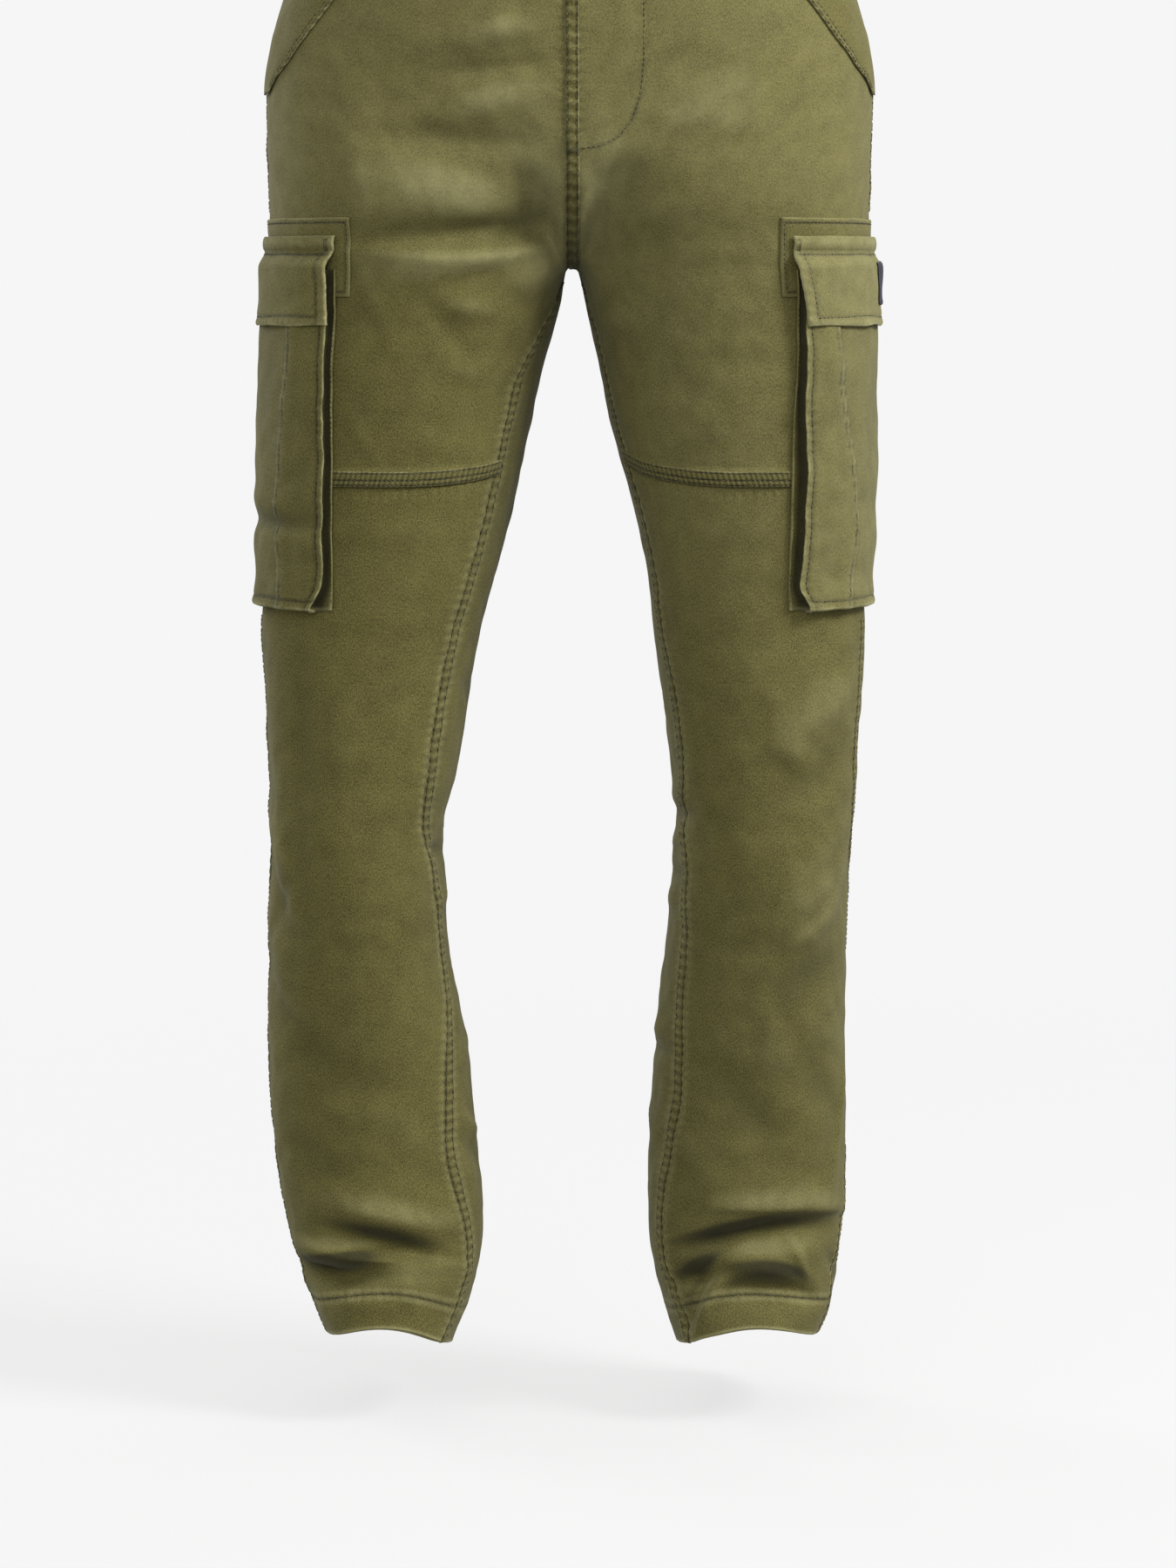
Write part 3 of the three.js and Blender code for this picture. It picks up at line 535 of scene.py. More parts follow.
def tapeShader():
    shade = Shader("navyTape")
    along = shade.split(shade.weave())[1]
    ribs = (along * (2 * math.pi / 0.0009)).sin() * 0.5 + 0.5
    colour = shade.blend((ribs * 0.5).clip(), (0.007, 0.008, 0.017), (0.016, 0.018, 0.034))
    colour = shade.blend((shade.attribute("worn") * 0.5).clip(), colour, (0.06, 0.062, 0.085))
    return shade.finish(colour, shade.bump(ribs, 0.00012, 0.8), 0.62)


def hornShader():
    shade = Shader("horn")
    place = shade.place()
    colour = shade.blend(shade.noise(place, 160, 3), (0.022, 0.017, 0.01), (0.085, 0.068, 0.04))
    return shade.finish(colour, shade.bump(shade.noise(place, 900, 2), 0.0002, 0.3), 0.42)


twill = twillShader()
thread = threadShader()
tape = tapeShader()
horn = hornShader()
print("materials are ready")


sewnOn = {}  # the bands and stitches sewn on each cut piece


def steps(*stops):
    # a fine list of heights through stops of (height, number of steps to the next)
    heights = []
    for (start, count), (end, _) in zip(stops, stops[1:]):
        heights += [mix(start, end, k / count) for k in range(count)]
    return np.array(heights + [stops[-1][0]])


def forkSteps(height, count):
    # rows that follow the fork, close together where the centre seam turns under
    climb = 1 - np.cos(np.radians(90 * (1 - np.arange(count) / count)))
    return cut["crotch"] + height * climb


def finishPiece(piece, material, nodes=()):
    piece.data.materials.append(material)
    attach(piece, body)
    if nodes:
        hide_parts(*nodes)


def meshFrom(bm, name):
    mesh = bpy.data.meshes.new(name)
    bm.to_mesh(mesh)
    bm.free()
    return mesh


def addObject(name, data):
    piece = bpy.data.objects.new(name, data)
    bpy.context.collection.objects.link(piece)
    return piece


def clothPiece(
    name, columns, heights, place, leg=None, nodes=(), thickness=0.0, material=None, on=None
):
    # a grid laid onto the garment: place(a, z) takes the share across and the height of each point, and
    # gives the points and the marks: wear and painted highlight, deep (painted shade), pucker, puckerAcross.
    # Where on names a cut piece, the new piece is a band sewn on it
    rows = len(heights) - 1
    bm = bmesh.new()
    bmesh.ops.create_grid(bm, x_segments=columns, y_segments=rows, size=0.5)
    mesh = meshFrom(bm, name)
    flat = np.empty(len(mesh.vertices) * 3)
    mesh.vertices.foreach_get("co", flat)
    flat = flat.reshape(-1, 3)
    i = np.rint((flat[:, 0] + 0.5) * columns).astype(int)
    j = np.rint((0.5 - flat[:, 1]) * rows).astype(int)
    gridA, gridZ = np.meshgrid(np.arange(columns + 1) / columns, heights)
    points, marks = place(gridA, gridZ)
    # flat distances along the rows and columns, which lay the weave out in metres
    acrossStep = np.linalg.norm(np.diff(points, axis=1), axis=-1)
    alongStep = np.linalg.norm(np.diff(points, axis=0), axis=-1)
    across = np.pad(np.cumsum(acrossStep, axis=1), ((0, 0), (1, 0)))
    across = across - across[:, [columns // 2]]
    along = np.pad(np.cumsum(alongStep.mean(axis=1)), (1, 0))[:, None] + 0 * gridA
    mesh.vertices.foreach_set("co", (points[j, i] * mm).ravel())
    layer = mesh.uv_layers.new(name="weave")
    corner = np.empty(len(mesh.loops), int)
    mesh.loops.foreach_get("vertex_index", corner)
    uv = np.stack([across[j, i] * mm, along[j, i] * mm], axis=-1)[corner]
    layer.data.foreach_set("uv", uv.ravel())
    for key in ("worn", "deep", "pucker", "puckerAcross"):
        values = np.broadcast_to(marks.get(key, 0.0), gridA.shape)[j, i]
        store = mesh.attributes.new(key, "FLOAT", "POINT")
        store.data.foreach_set("value", np.clip(values, 0, 1).astype(np.float32))
    # faces look away from the leg's own middle
    bm = bmesh.new()
    bm.from_mesh(mesh)
    bm.normal_update()
    facing = 0.0
    middleX = {"left": 1, "right": -1, None: 0}[leg] * cut["legMiddle"] * mm
    for face in list(bm.faces)[:: max(1, len(bm.faces) // 400)]:
        centre = face.calc_center_median()
        facing += face.normal.dot((centre - Vector((middleX, 0, centre.z))).normalized())
    if facing < 0:
        bmesh.ops.reverse_faces(bm, faces=bm.faces)
    bm.to_mesh(mesh)
    bm.free()
    mesh.shade_smooth()
    piece = addObject(name, mesh)
    if thickness:
        shell = piece.modifiers.new("cloth", "SOLIDIFY")
        shell.thickness = thickness * mm
        shell.offset = -1
        shell.use_even_offset = False
    finishPiece(piece, material or twill, nodes)
    if on:
        sewnOn[on].append(piece)
        return
    down, right = points[1:, :-1] - points[:-1, :-1], points[:-1, 1:] - points[:-1, :-1]
    sewnOn[name] = []


def stitches(name, runs, on, size=(3.0, 0.75, 0.6), pitch=3.7):
    # rows of stitches along runs of points and normals, each stitch a small sunk bead of thread
    bm, small = bmesh.new(), (mm, mm, mm, 1)
    for points, normals in runs:
        reach = np.concatenate([[0], np.cumsum(np.linalg.norm(np.diff(points, axis=0), axis=-1))])

        def sample(values, s):
            return Vector([np.interp(s, reach, values[:, k]) for k in range(3)])

        for s in np.arange(pitch / 2, reach[-1], pitch):
            up = sample(normals, s).normalized()
            forward = (sample(points, min(s + 1, reach[-1])) - sample(points, max(s - 1, 0))).normalized()
            if forward.length < 0.5:
                continue
            beside = up.cross(forward).normalized()
            turn = Matrix((forward * size[0] / 2, beside * size[1] / 2, up * size[2] / 2)).transposed()
            place = Matrix.Translation(sample(points, s) * mm) @ turn.to_4x4() @ Matrix.Diagonal(small)
            bmesh.ops.create_icosphere(bm, subdivisions=1, radius=1, matrix=place)
    mesh = meshFrom(bm, name)
    mesh.shade_smooth()
    piece = addObject(name, mesh)
    finishPiece(piece, thread)
    sewnOn[on].append(piece)


def runOver(leg, u, z, height):
    # points and normals of a row of stitches over the cloth
    u, z = spread(u, z)
    return over(leg, u, z, height), outward(clothPoints, leg, u, z)


def sideAngleU(angle):
    # u at an angle from the outside of the leg towards the front
    return 0.5 - angle / 360


def sideRun(leg, angle, z, height):
    return runOver(leg, sideAngleU(angle), z, height)


def degreesWide(leg, z):
    # millimetres to a degree round the leg
    inner, outer, front, back = ring(leg, z)
    return math.pi * (outer - inner + front + back) / 4 / 180


# the panels of the legs; far is a distance at which a seam has no effect
panelSet = dict(
    columns=78, backColumns=104, inseamPucker=9.0, sidePucker=8.0, hemPucker=5.0, thighPucker=8.0,
    waistPucker=7.0, seamDip=0.55, felledHeight=10.5, felledThick=1.1, hemStitch=25.0, hips=(-430, -360),
    ankle=(-900, -950), far=99.0,
)
# tones that are only colour, painted in: a painted highlight over the hips, where the light from above
# falls, painted light beside the fork that lifts the shade of its hollow, the left thigh paler, partly faded
# cloth and partly painted light on its shaded inner front, and the left shin darker lower down
panelTone = dict(hips=0.13, fork=0.46, forkAngle=20, forkHeight=-250, faded=0.12, fadedAngle=72, shin=0.11)


def smoothCurve(points, count):
    # evenly spread places on a curve drawn smoothly through a few points
    points = np.array(points, float)
    along = np.linspace(0, len(points) - 1, count)
    x, z = (np.interp(along, np.arange(len(points)), points[:, k]) for k in (0, 1))
    for _ in range(6):
        x[1:-1] = (x[:-2] + 2 * x[1:-1] + x[2:]) / 4
        z[1:-1] = (z[:-2] + 2 * z[1:-1] + z[2:]) / 4
    return x, z


flyCurve = [[49, -42], [49, -93], [49, -150], [46.5, -172], [41, -188], [32, -199], [20, -205], [7.5, -207]]


def toFlyCurve(points):
    x, z = smoothCurve(flyCurve, 60)
    gap = np.hypot(points[..., 0, None] - x, points[..., 2, None] - z).min(axis=-1)
    return np.where(points[..., 1] < 0, gap, panelSet["far"])


def panelMarks(leg, u, z, level):
    # the seams draw the cloth in; ridges are paler, partly rubbed cloth and partly painted highlight;
    # troughs and stitch grooves get painted shade
    s, tone = panelSet, panelTone
    angle = u * 360
    wide = degreesWide(leg, np.minimum(level, cut["crotch"]))
    toInseam = np.abs(wrapped(angle - insideU(leg, level) * 360)) * wide
    toSide = np.abs(wrapped(angle - sideU(leg, level) * 360)) * wide
    toHem = np.abs(z - (cut["hem"] + s["hemStitch"]))
    toThigh = np.where(u < 0.5, np.abs(z - cut["thighSeam"]), s["far"])
    seam = np.maximum(bell(toInseam, s["inseamPucker"]), 0.8 * bell(toSide, s["sidePucker"]))
    rows = np.maximum(0.6 * bell(toHem, s["hemPucker"]), 0.7 * bell(toThigh, s["thighPucker"]))
    rows = np.maximum(rows, 0.5 * bell(z - waistSeam, s["waistPucker"]))
    folds = foldDepth(leg, angle, z) + creaseDepth(leg, angle, z)
    hips = smooth(*s["hips"], level)
    ankle = smooth(*s["ankle"], level)
    # painted shade in the troughs, weaker over the hips, and in the groove of the hem's stitching
    deep = np.clip((-folds - 0.5) / mix(11, 7, ankle), 0, 0.9) * mix(1, 0.3, hips) + 0.9 * bell(toHem, 1.1)
    # ridges paler: partly rubbed cloth, partly painted highlight, stronger over the hips
    worn = np.clip((folds - 0.9) / mix(18, 10, hips), 0, mix(0.22, 0.42, hips))
    # painted light beside the fork lifts the shade of the hollow there; the hips get a painted highlight
    fork = np.where(u < 0.5, bell(angle - tone["forkAngle"], 20), 0) * bell(level - tone["forkHeight"], 46)
    worn = worn + tone["hips"] * smooth(-340, -200, level) + tone["fork"] * fork
    if leg == "left":
        # the left thigh's inner front is paler: partly faded cloth, partly painted light on its shaded side
        faded = tone["faded"] * bell(angle - tone["fadedAngle"], 62) * smooth(-200, -330, level)
        worn = worn + faded * mix(0.25, 1, smooth(-600, -420, level))
        toCurve = toFlyCurve(plainPoints(leg, u, level))
        # the left shin darker lower down, and painted shade in the groove of the fly's stitched curve
        deep = deep + tone["shin"] * smooth(-640, -820, level) + 0.85 * bell(toCurve, 1.1)
        rows = np.maximum(rows, 0.5 * bell(toCurve, 4))
    rims = [0.75 * bell(z - cut["hem"], 1.6), 0.26 * bell(toHem - 3, 2.0), 0.2 * bell(toInseam - 6, 3.0)]
    for rim in rims:
        worn = np.maximum(worn, rim)
    return dict(worn=worn, deep=deep, pucker=seam, puckerAcross=rows)


def legPanel(name, node, leg, columns, heights, startU, endU, felled=False):
    def place(a, z):
        u = mix(startU(leg, z), endU(leg, z), a)
        level = rowZ(u, z)
        u = mix(startU(leg, level), endU(leg, level), a)
        across = clothPoints(leg, u + 0.001, level) - clothPoints(leg, u - 0.001, level)
        shift = 0.25 * cut["gap"] * 0.002 / np.linalg.norm(across, axis=-1)
        u = u + shift * (a == 0) - shift * (a == 1)
        marks = panelMarks(leg, u, z, level)
        height = -panelSet["seamDip"] * marks["puckerAcross"] * (0.5 + 0.5 * np.sin(u * 360 * 1.05))
        if felled:
            onBand = z <= cut["thighSeam"] + panelSet["felledHeight"]
            height = np.where(onBand, panelSet["felledThick"], height)
        return over(leg, u, level, height), marks

    clothPiece(name, columns, heights, place, leg, [node], cut["cloth"])


def makePanels():
    s = panelSet

    def nextInsideU(leg, z):
        return 1 + insideU(leg, z)

    bandTop, foot = cut["thighSeam"] + s["felledHeight"], [(cut["hem"] + 3, 3), (cut["hem"], 0)]
    forkTop, backTop = cut["crotch"] + cut["frontFork"], cut["crotch"] + cut["backFork"]
    for leg in ("right", "left"):
        upper = np.concatenate([
            steps((waistSeam - 0.2, 52), (forkTop, 0))[:-1],
            forkSteps(cut["frontFork"], 26),
            steps((cut["crotch"], 42), (bandTop + 0.7, 1), (bandTop, 5), (cut["thighSeam"] + 0.17, 0)),
        ])
        legPanel(f"upper_panel_{leg}", f"front_upper_{leg}", leg, s["columns"], upper, insideU, sideU, True)
        lower = steps((cut["thighSeam"] - 0.17, 150), (cut["hemFrom"], 96), *foot)
        legPanel(f"lower_panel_{leg}", f"front_lower_{leg}", leg, s["columns"], lower, insideU, sideU)
        whole = np.concatenate([
            steps((waistSeam - 0.2, 36), (backTop, 0))[:-1],
            forkSteps(cut["backFork"], 38),
            steps((cut["crotch"], 160), (cut["hemFrom"], 60), *foot),
        ])
        legPanel(f"back_panel_{leg}", f"back_{leg}", leg, s["backColumns"], whole, sideU, nextInsideU)
        print("the panels of the", leg, "leg are made")


makePanels()


def crossU(leg, across, z, back=False):
    # u of the front's or back's point that lies a distance sideways from the centre line
    across, z = spread(across, z)
    low, high = np.zeros(across.shape), np.full(across.shape, 0.5)
    for _ in range(20):
        middle = (low + high) / 2
        u = 1 - middle if back else middle
        nearer = np.abs(plainPoints(leg, u, z)[..., 0]) < across
        low, high = np.where(nearer, middle, low), np.where(nearer, high, middle)
    middle = (low + high) / 2
    return 1 - middle if back else middle


# the felled seams: a raised band with a row of stitches near each edge, puckered between them
bandSet = dict(
    width=9.4, height=0.75, rowsApart=6.6, pucker=0.36, puckerPitch=6.8, wobble=0.5, step=1.9,
    stitchStep=-2.5, inseamTop=-296, outseam=(-42, -247), outseamLow=-530,
)
# the bands over the centre seam, in front as wide as the fly's stitched edge
centreSet = dict(
    puckerPitch=7.4, step=1.8, lift=0.85, stitchIn=1.2, stitchHeight=1.75, flyBar=-207.5, fly=(-4, 5.5),
    flyBottom=-285.4, seat=(-4.7, 4.7), seatBottom=-262,
)


def bandProfile(a, z, width, seed, pitch):
    # the height of a felled band over the cloth, and its marks
    s = bandSet
    offset = (a - 0.5) * width
    edge = np.clip(np.minimum(a, 1 - a) * width / 1.1, 0, 1)
    phase = 2 * math.pi * z / pitch + 2.2 * noise(z / 23, seed)
    wave = np.sin(phase + 0.5 * np.sin(offset))
    sunk = bell(np.abs(offset) - s["rowsApart"] / 2, 0.75)
    height = 0.12 + s["height"] * np.sqrt(edge) + s["pucker"] * edge * wave - 0.4 * sunk * edge
    worn = 0.26 * np.clip(wave, 0, 1) * (1 - sunk) + 0.5 * (1 - edge) * (0.6 + 0.4 * noise(z / 9, seed + 1))
    # painted shade in the stitch grooves and the pucker troughs
    deep = 0.75 * sunk + 0.3 * np.clip(-wave, 0, 1)
    return height, dict(worn=worn, deep=deep, pucker=0.2)


def seamBand(name, leg, centreU, top, bottom, on, seed):
    s = bandSet

    def across(offset, z):
        level = rowZ(centreU(leg, z), z)
        wobble = s["wobble"] * noise(z / 30, seed + 5)
        return centreU(leg, level) + (offset + wobble) / degreesWide(leg, level) / 360, level

    def place(a, z):
        u, level = across((a - 0.5) * s["width"], z)
        height, marks = bandProfile(a, z, s["width"], seed, s["puckerPitch"])
        return over(leg, u, level, height), marks

    heights = steps((top, int((top - bottom) / s["step"])), (bottom, 0))
    clothPiece(name, 8, heights, place, leg, thickness=0.6, on=on)
    z = np.arange(top - 1, bottom + 1, s["stitchStep"])
    runs = [runOver(leg, *across(side * s["rowsApart"] / 2, z), s["height"]) for side in (-1, 1)]
    stitches(name + "_stitches", runs, on)


def eitherSide(isLeft, sidePoints):
    # points and normals, each from the side of the garment it lies on
    sides = zip(sidePoints("right"), sidePoints("left"))
    return [np.where(isLeft[..., None], left, right) for right, left in sides]


def centreBand(name, back, bottom, fromX, toX, on, nodes=(), seed=3):
    # a band over the seam that joins the two sides, at the front or the back
    s = centreSet
    top = waistSeam - 1

    def points(x, z, height):
        def sidePoints(leg):
            u = crossU(leg, np.abs(x), z, back)
            at, normal = clothPoints(leg, u, z), outward(clothPoints, leg, u, z)
            normal[..., 0] *= 0.3
            normal /= np.linalg.norm(normal, axis=-1, keepdims=True)
            at = at + normal * np.broadcast_to(height, x.shape)[..., None]
            at[..., 0] = x
            return at, normal

        return eitherSide(x >= 0, sidePoints)

    def place(a, z):
        x = mix(fromX, toX, a) + 0.3 * noise(z / 26, seed)
        height, marks = bandProfile(a, z, toX - fromX, seed, s["puckerPitch"])
        if not back:
            # the bar of stitches where the fly's curved row ends
            bar = bell(z - s["flyBar"], 1.8)
            marks["deep"] = marks["deep"] + 1.3 * bar
            height = height + 0.6 * bar
        return points(x, z, s["lift"] + height)[0], marks

    heights = steps((top, int((top - bottom) / s["step"])), (bottom, 0))
    clothPiece(name, 9, heights, place, None, nodes, 0.9, on=on)
    z = np.arange(top - 1, bottom + 1, bandSet["stitchStep"])
    rows = (fromX + s["stitchIn"], toX - s["stitchIn"])
    runs = [points(np.full(z.shape, x), z, s["stitchHeight"]) for x in rows]
    stitches(name + "_stitches", runs, on)


def makeSeams():
    foot, s, c = cut["hem"] + 0.5, bandSet, centreSet
    for k, leg in enumerate(("right", "left")):
        seamBand(f"inseam_{leg}", leg, insideU, s["inseamTop"], foot, f"lower_panel_{leg}", 11 + k)
        seamBand(f"outseam_low_{leg}", leg, sideU, s["outseamLow"], foot, f"lower_panel_{leg}", 21 + k)
        seamBand(f"outseam_top_{leg}", leg, sideU, *s["outseam"], f"upper_panel_{leg}", 31 + k)
    centreBand("fly_band", False, c["flyBottom"], *c["fly"], "upper_panel_left", ["fly_edge"])
    centreBand("seat_band", True, c["seatBottom"], *c["seat"], "back_panel_left", seed=8)


makeSeams()

# the rows of the thigh seams, the hems and the fly
sewing = dict(
    thighRows=[1.1, 4.5, 9.3], thighPucker=3.7, underBag=dict(right=66.0, left=72.0), pressed=1.3,
    thighColumns=380,
    thighLevels=[
        10.5, 10.1, 9.7, 9.3, 8.8, 8.2, 7.2, 6.2, 5.4, 4.9, 4.5, 4.1, 3.5, 2.7, 1.9, 1.4, 1.1, 0.8, 0.4, 0,
        -0.3,
    ],
)


def thighPlace(leg, share, z):
    # across the front panel at a row that follows the thigh seam
    level = rowZ(mix(insideU(leg, z), sideU(leg, z), share), z)
    return mix(insideU(leg, level), sideU(leg, level), share), level


def thighBand(leg):
    # the felled band across the thigh, puckered between its rows of stitches
    s = sewing
    seed = 41 if leg == "right" else 47

    def place(a, z):
        up = z - cut["thighSeam"]
        u, level = thighPlace(leg, a, z)
        around = u * 360 * degreesWide(leg, level)
        tick = 0.5 + 0.5 * np.sin(2 * math.pi * around / s["thighPucker"] + 1.8 * noise(around / 31, seed))
        edge = np.clip(np.minimum(up + 0.3, panelSet["felledHeight"] - up) / 0.9, 0, 1)
        sunk = sum(bell(up - row, 0.55) for row in s["thighRows"])
        height = panelSet["felledThick"] + 0.08 + 0.5 * np.sqrt(edge) + 0.36 * edge * tick - 0.3 * sunk
        # the cargo bag presses it flat
        bag = s["underBag"][leg]
        height = height - s["pressed"] * smooth(bag + 0.3, bag - 1.2, 180 - u * 360)
        rim = bell(up - panelSet["felledHeight"] + 0.3, 0.7)
        worn = 0.34 * rim * (0.6 + 0.5 * noise(around / 7, seed + 1)) + 0.14 * tick * (1 - sunk)
        # painted shade in the sunk stitch rows and between the puckers
        return over(leg, u, level, height), dict(worn=worn, deep=0.95 * sunk + 0.34 * (1 - tick) + 0.05)

    heights = cut["thighSeam"] + np.array(s["thighLevels"])
    name, panel = f"thigh_band_{leg}", f"upper_panel_{leg}"
    clothPiece(name, s["thighColumns"], heights, place, leg, thickness=0.3, on=panel)


def makePanelSewing():
    s = sewing
    for leg in ("right", "left"):
        thighBand(leg)
        share = np.linspace(0.01, 0.99, 90)
        runs = []
        for up in s["thighRows"]:
            u, level = thighPlace(leg, share, cut["thighSeam"] + up)
            seen = 180 - u * 360 > s["underBag"][leg] + 0.5
            runs.append(runOver(leg, u[seen], level[seen], panelSet["felledThick"] + 0.5))
        stitches(f"thigh_stitches_{leg}", runs, f"upper_panel_{leg}", size=(2.6, 0.7, 0.55), pitch=3.1)
        u = np.linspace(0, 1, 240)
        z = cut["hem"] + panelSet["hemStitch"] + 0.4 * noise(u * 30, 4)
        stitches(f"hem_stitches_{leg}", [runOver(leg, u, rowZ(u, z), -0.25)], f"lower_panel_{leg}")
    x, z = smoothCurve(flyCurve, 120)
    stitches("fly_stitches", [runOver("left", crossU("left", x, z), z, 0.05)], "upper_panel_left")


makePanelSewing()
print("the seams are sewn")


# the turned-up hem inside each leg
hemSet = dict(height=31, inside=1.75, columns=130, thick=1.2)


def makeHems():
    s = hemSet
    for leg in ("right", "left"):
        def place(a, z):
            level = rowZ(a, z)
            fold = smooth(cut["hem"] + 4, cut["hem"], z)
            marks = dict(worn=0.7 * bell(z - cut["hem"], 2), puckerAcross=0.4)
            return over(leg, a, level, 0.3 * fold - s["inside"]), marks

        heights = steps((cut["hem"] + s["height"], 14), (cut["hem"] + 1, 2), (cut["hem"] - 0.4, 0))
        name, panel = f"hem_turning_{leg}", f"back_panel_{leg}"
        clothPiece(name, s["columns"], heights, place, leg, thickness=s["thick"], on=panel)


makeHems()

# the front pockets' facings, lapped over the front panels
hipSet = dict(top=-41.0, bottom=-166.0, height=2.3, thick=1.3, rows=[2.2, 8.2], puckerPitch=7.1)
hipMouth = [[-41, 112], [-80, 141], [-110, 165], [-133, 183], [-152, 199], [-166, 209]]


def makeHipPockets():
    s = hipSet
    rows = np.array(hipMouth, float)

    def mouthU(leg, z):
        across = np.interp(-z, -rows[:, 0], rows[:, 1])
        return crossU(leg, np.minimum(across, column(leg, "outer", z) - 1.5), z)

    for leg in ("right", "left"):
        def place(a, z):
            u = mix(mouthU(leg, z), sideU(leg, z) - 0.003, a)
            toMouth = (u - mouthU(leg, z)) * 360 * degreesWide(leg, z)
            wave = np.sin(2 * math.pi * z / s["puckerPitch"] + 2 * noise(z / 20, 6))
            near = bell(toMouth, 5)
            height = s["height"] + 0.25 * wave * near - 0.6 * bell(toMouth, 0.8)
            for row in s["rows"]:
                height = height - 0.25 * bell(toMouth - row, 0.8)
            worn = 0.75 * bell(toMouth, 1.3) + 0.18 * near + 0.2 * smooth(-155, -166, z)
            return over(leg, u, z, height), dict(worn=worn, deep=0.0, pucker=near)

        heights = steps((s["top"], 70), (s["bottom"], 0))
        clothPiece(f"hip_facing_{leg}", 46, heights, place, leg, [f"hip_pocket_{leg}"], s["thick"])
        z = np.arange(s["top"] - 1, s["bottom"] + 3, -2.0)
        runs = []
        for row in s["rows"]:
            u = mouthU(leg, z) + row / degreesWide(leg, z) / 360
            keep = u < sideU(leg, z) - 0.004
            runs.append(runOver(leg, u[keep], z[keep], s["height"] + 0.02))
        stitches(f"hip_stitches_{leg}", runs, f"hip_facing_{leg}")


makeHipPockets()

# the cargo pockets: angles go from the outside of the leg towards the front
staySet = dict(
    top=-252.5, bottom=-306.5, front=dict(right=66.0, left=69.5), back=-60.0, lift=0.85, thick=0.8,
    stitchIn=3.2, lowRow=9.0,
)
bagSet = dict(
    top=-288.0, bottom=-521.5, wall=1.4, stand=6.6, frontStand=9.5, edgeWave=0.55, stitchIn=4.6,
    bottomStitch=6.6, lapStitch=3.2, corner=4.6, cornerFrom=-503, cornerTo=-520.5, pinch=-452, foot=-500,
    faded=dict(right=0.03, left=0.17),
)
closeStitch = dict(size=(2.8, 0.7, 0.6), pitch=3.5)
# down each bag: height, then the angles where its bellows is sewn to the leg in front, of the face's front
# and back edges, and where the bellows is sewn to the leg behind
bagEdges = {
    "right": [
        [-288, 60.5, 58.5, -49, -54], [-328, 61.2, 59.9, -49, -54], [-377, 63, 61.8, -51, -56],
        [-437, 66, 63.9, -55, -60], [-473, 68, 65.4, -58, -63], [-521.5, 71.5, 67.6, -61.5, -66.5],
    ],
    "left": [
        [-288, 63.5, 62, -49, -54], [-328, 64.7, 63.2, -49, -54], [-383, 68.5, 65.5, -52, -57],
        [-437, 72, 66.5, -56, -61], [-473, 74.5, 69.5, -59, -64], [-521.5, 76.6, 72.6, -62.5, -67.5],
    ],
}
# the lapped seam down each bag's face: height and angle
bagSeams = {
    "right": [
        [-284, 41], [-333, 41.5], [-353, 42.5], [-377, 40], [-425, 39], [-457, 36.5], [-485, 41], [-528, 42],
    ],
    "left": [
        [-284, 49], [-333, 48.5], [-365, 48], [-401, 43.5], [-442, 39], [-461, 37], [-490, 40], [-528, 44],
    ],
}
# soft dents and swells of each bag's face: angle, height, half width in degrees and in height, depth
bagDents = {
    "right": [
        [30, -462, 40, 6, -3.6], [24, -447, 40, 8, 2.2], [52, -380, 7, 36, 0.9], [26, -360, 12, 50, -1.0],
        [48, -500, 14, 9, 1.2], [30, -512, 10, 8, -1.3], [54, -430, 5, 24, -0.9], [-14, -400, 22, 60, 1.2],
        [14, -330, 10, 26, 1.0], [50, -474, 10, 6, 1.0], [58, -488, 8, 5, -1.2],
    ],
    "left": [
        [55, -352, 6, 22, 1.3], [46, -372, 5, 44, -1.1], [52, -448, 8, 34, 1.1], [26, -420, 10, 60, -1.0],
        [58, -486, 5, 14, -1.2], [48, -512, 12, 8, 1.2], [-10, -410, 22, 60, 1.2], [32, -330, 7, 20, -0.9],
        [60, -466, 8, 6, -1.4], [54, -455, 9, 7, 1.0], [9, -376, 16, 34, -3.0],
    ],
}
flapSet = dict(
    top=-264.5, bottom=-326.5, back=-56.0, wall=2.2, weltDrop=10.0, weltHigh=1.5, weltStitch=-276.9,
    stitchIn=7.2, stitchUp=6.2, flare=0.9, flareFrom=-305, flareTo=-326, stepFrom=-273.5, stepTo=-286,
    tackIn=1.4, tackApart=0.55, faded=dict(right=0.05, left=0.26),
)
# the front edge of each flap: height and angle
flapEdges = {
    "right": [[-264, 60.3], [-274, 60.3], [-280, 58.9], [-299, 59.7], [-327, 60.6]],
    "left": [[-264, 64.8], [-274, 64.8], [-280, 65.2], [-300, 63.8], [-327, 62.8]],
}
stayTop = staySet["lift"] + staySet["thick"] + cut["gap"]


def along(rows, z):
    rows = np.array(rows, float)
    return np.interp(-np.asarray(z, float), -rows[:, 0], rows[:, 1])


def bagStand(leg, angle, z):
    s = bagSet
    front, heel = curve(bagEdges[leg], 1, z), curve(bagEdges[leg], 4, z)
    edge = smooth(front - 30, front - 6, angle) + 0.6 * smooth(heel + 26, heel + 6, angle)
    dent = 1.4 * bell(z - s["pinch"], 12) * smooth(-50, 10, angle)
    foot = 1.2 * bell(z - s["foot"], 12)
    return mix(s["stand"], s["frontStand"], np.clip(edge, 0, 1)) - dent - foot


def flapStand(leg, angle, z):
    s = flapSet
    return mix(stayTop, bagStand(leg, angle, z) + cut["gap"] + 0.15, smooth(s["stepFrom"], s["stepTo"], z))


def flapFlare(z):
    s = flapSet
    return s["flare"] * smooth(s["flareFrom"], s["flareTo"], z)


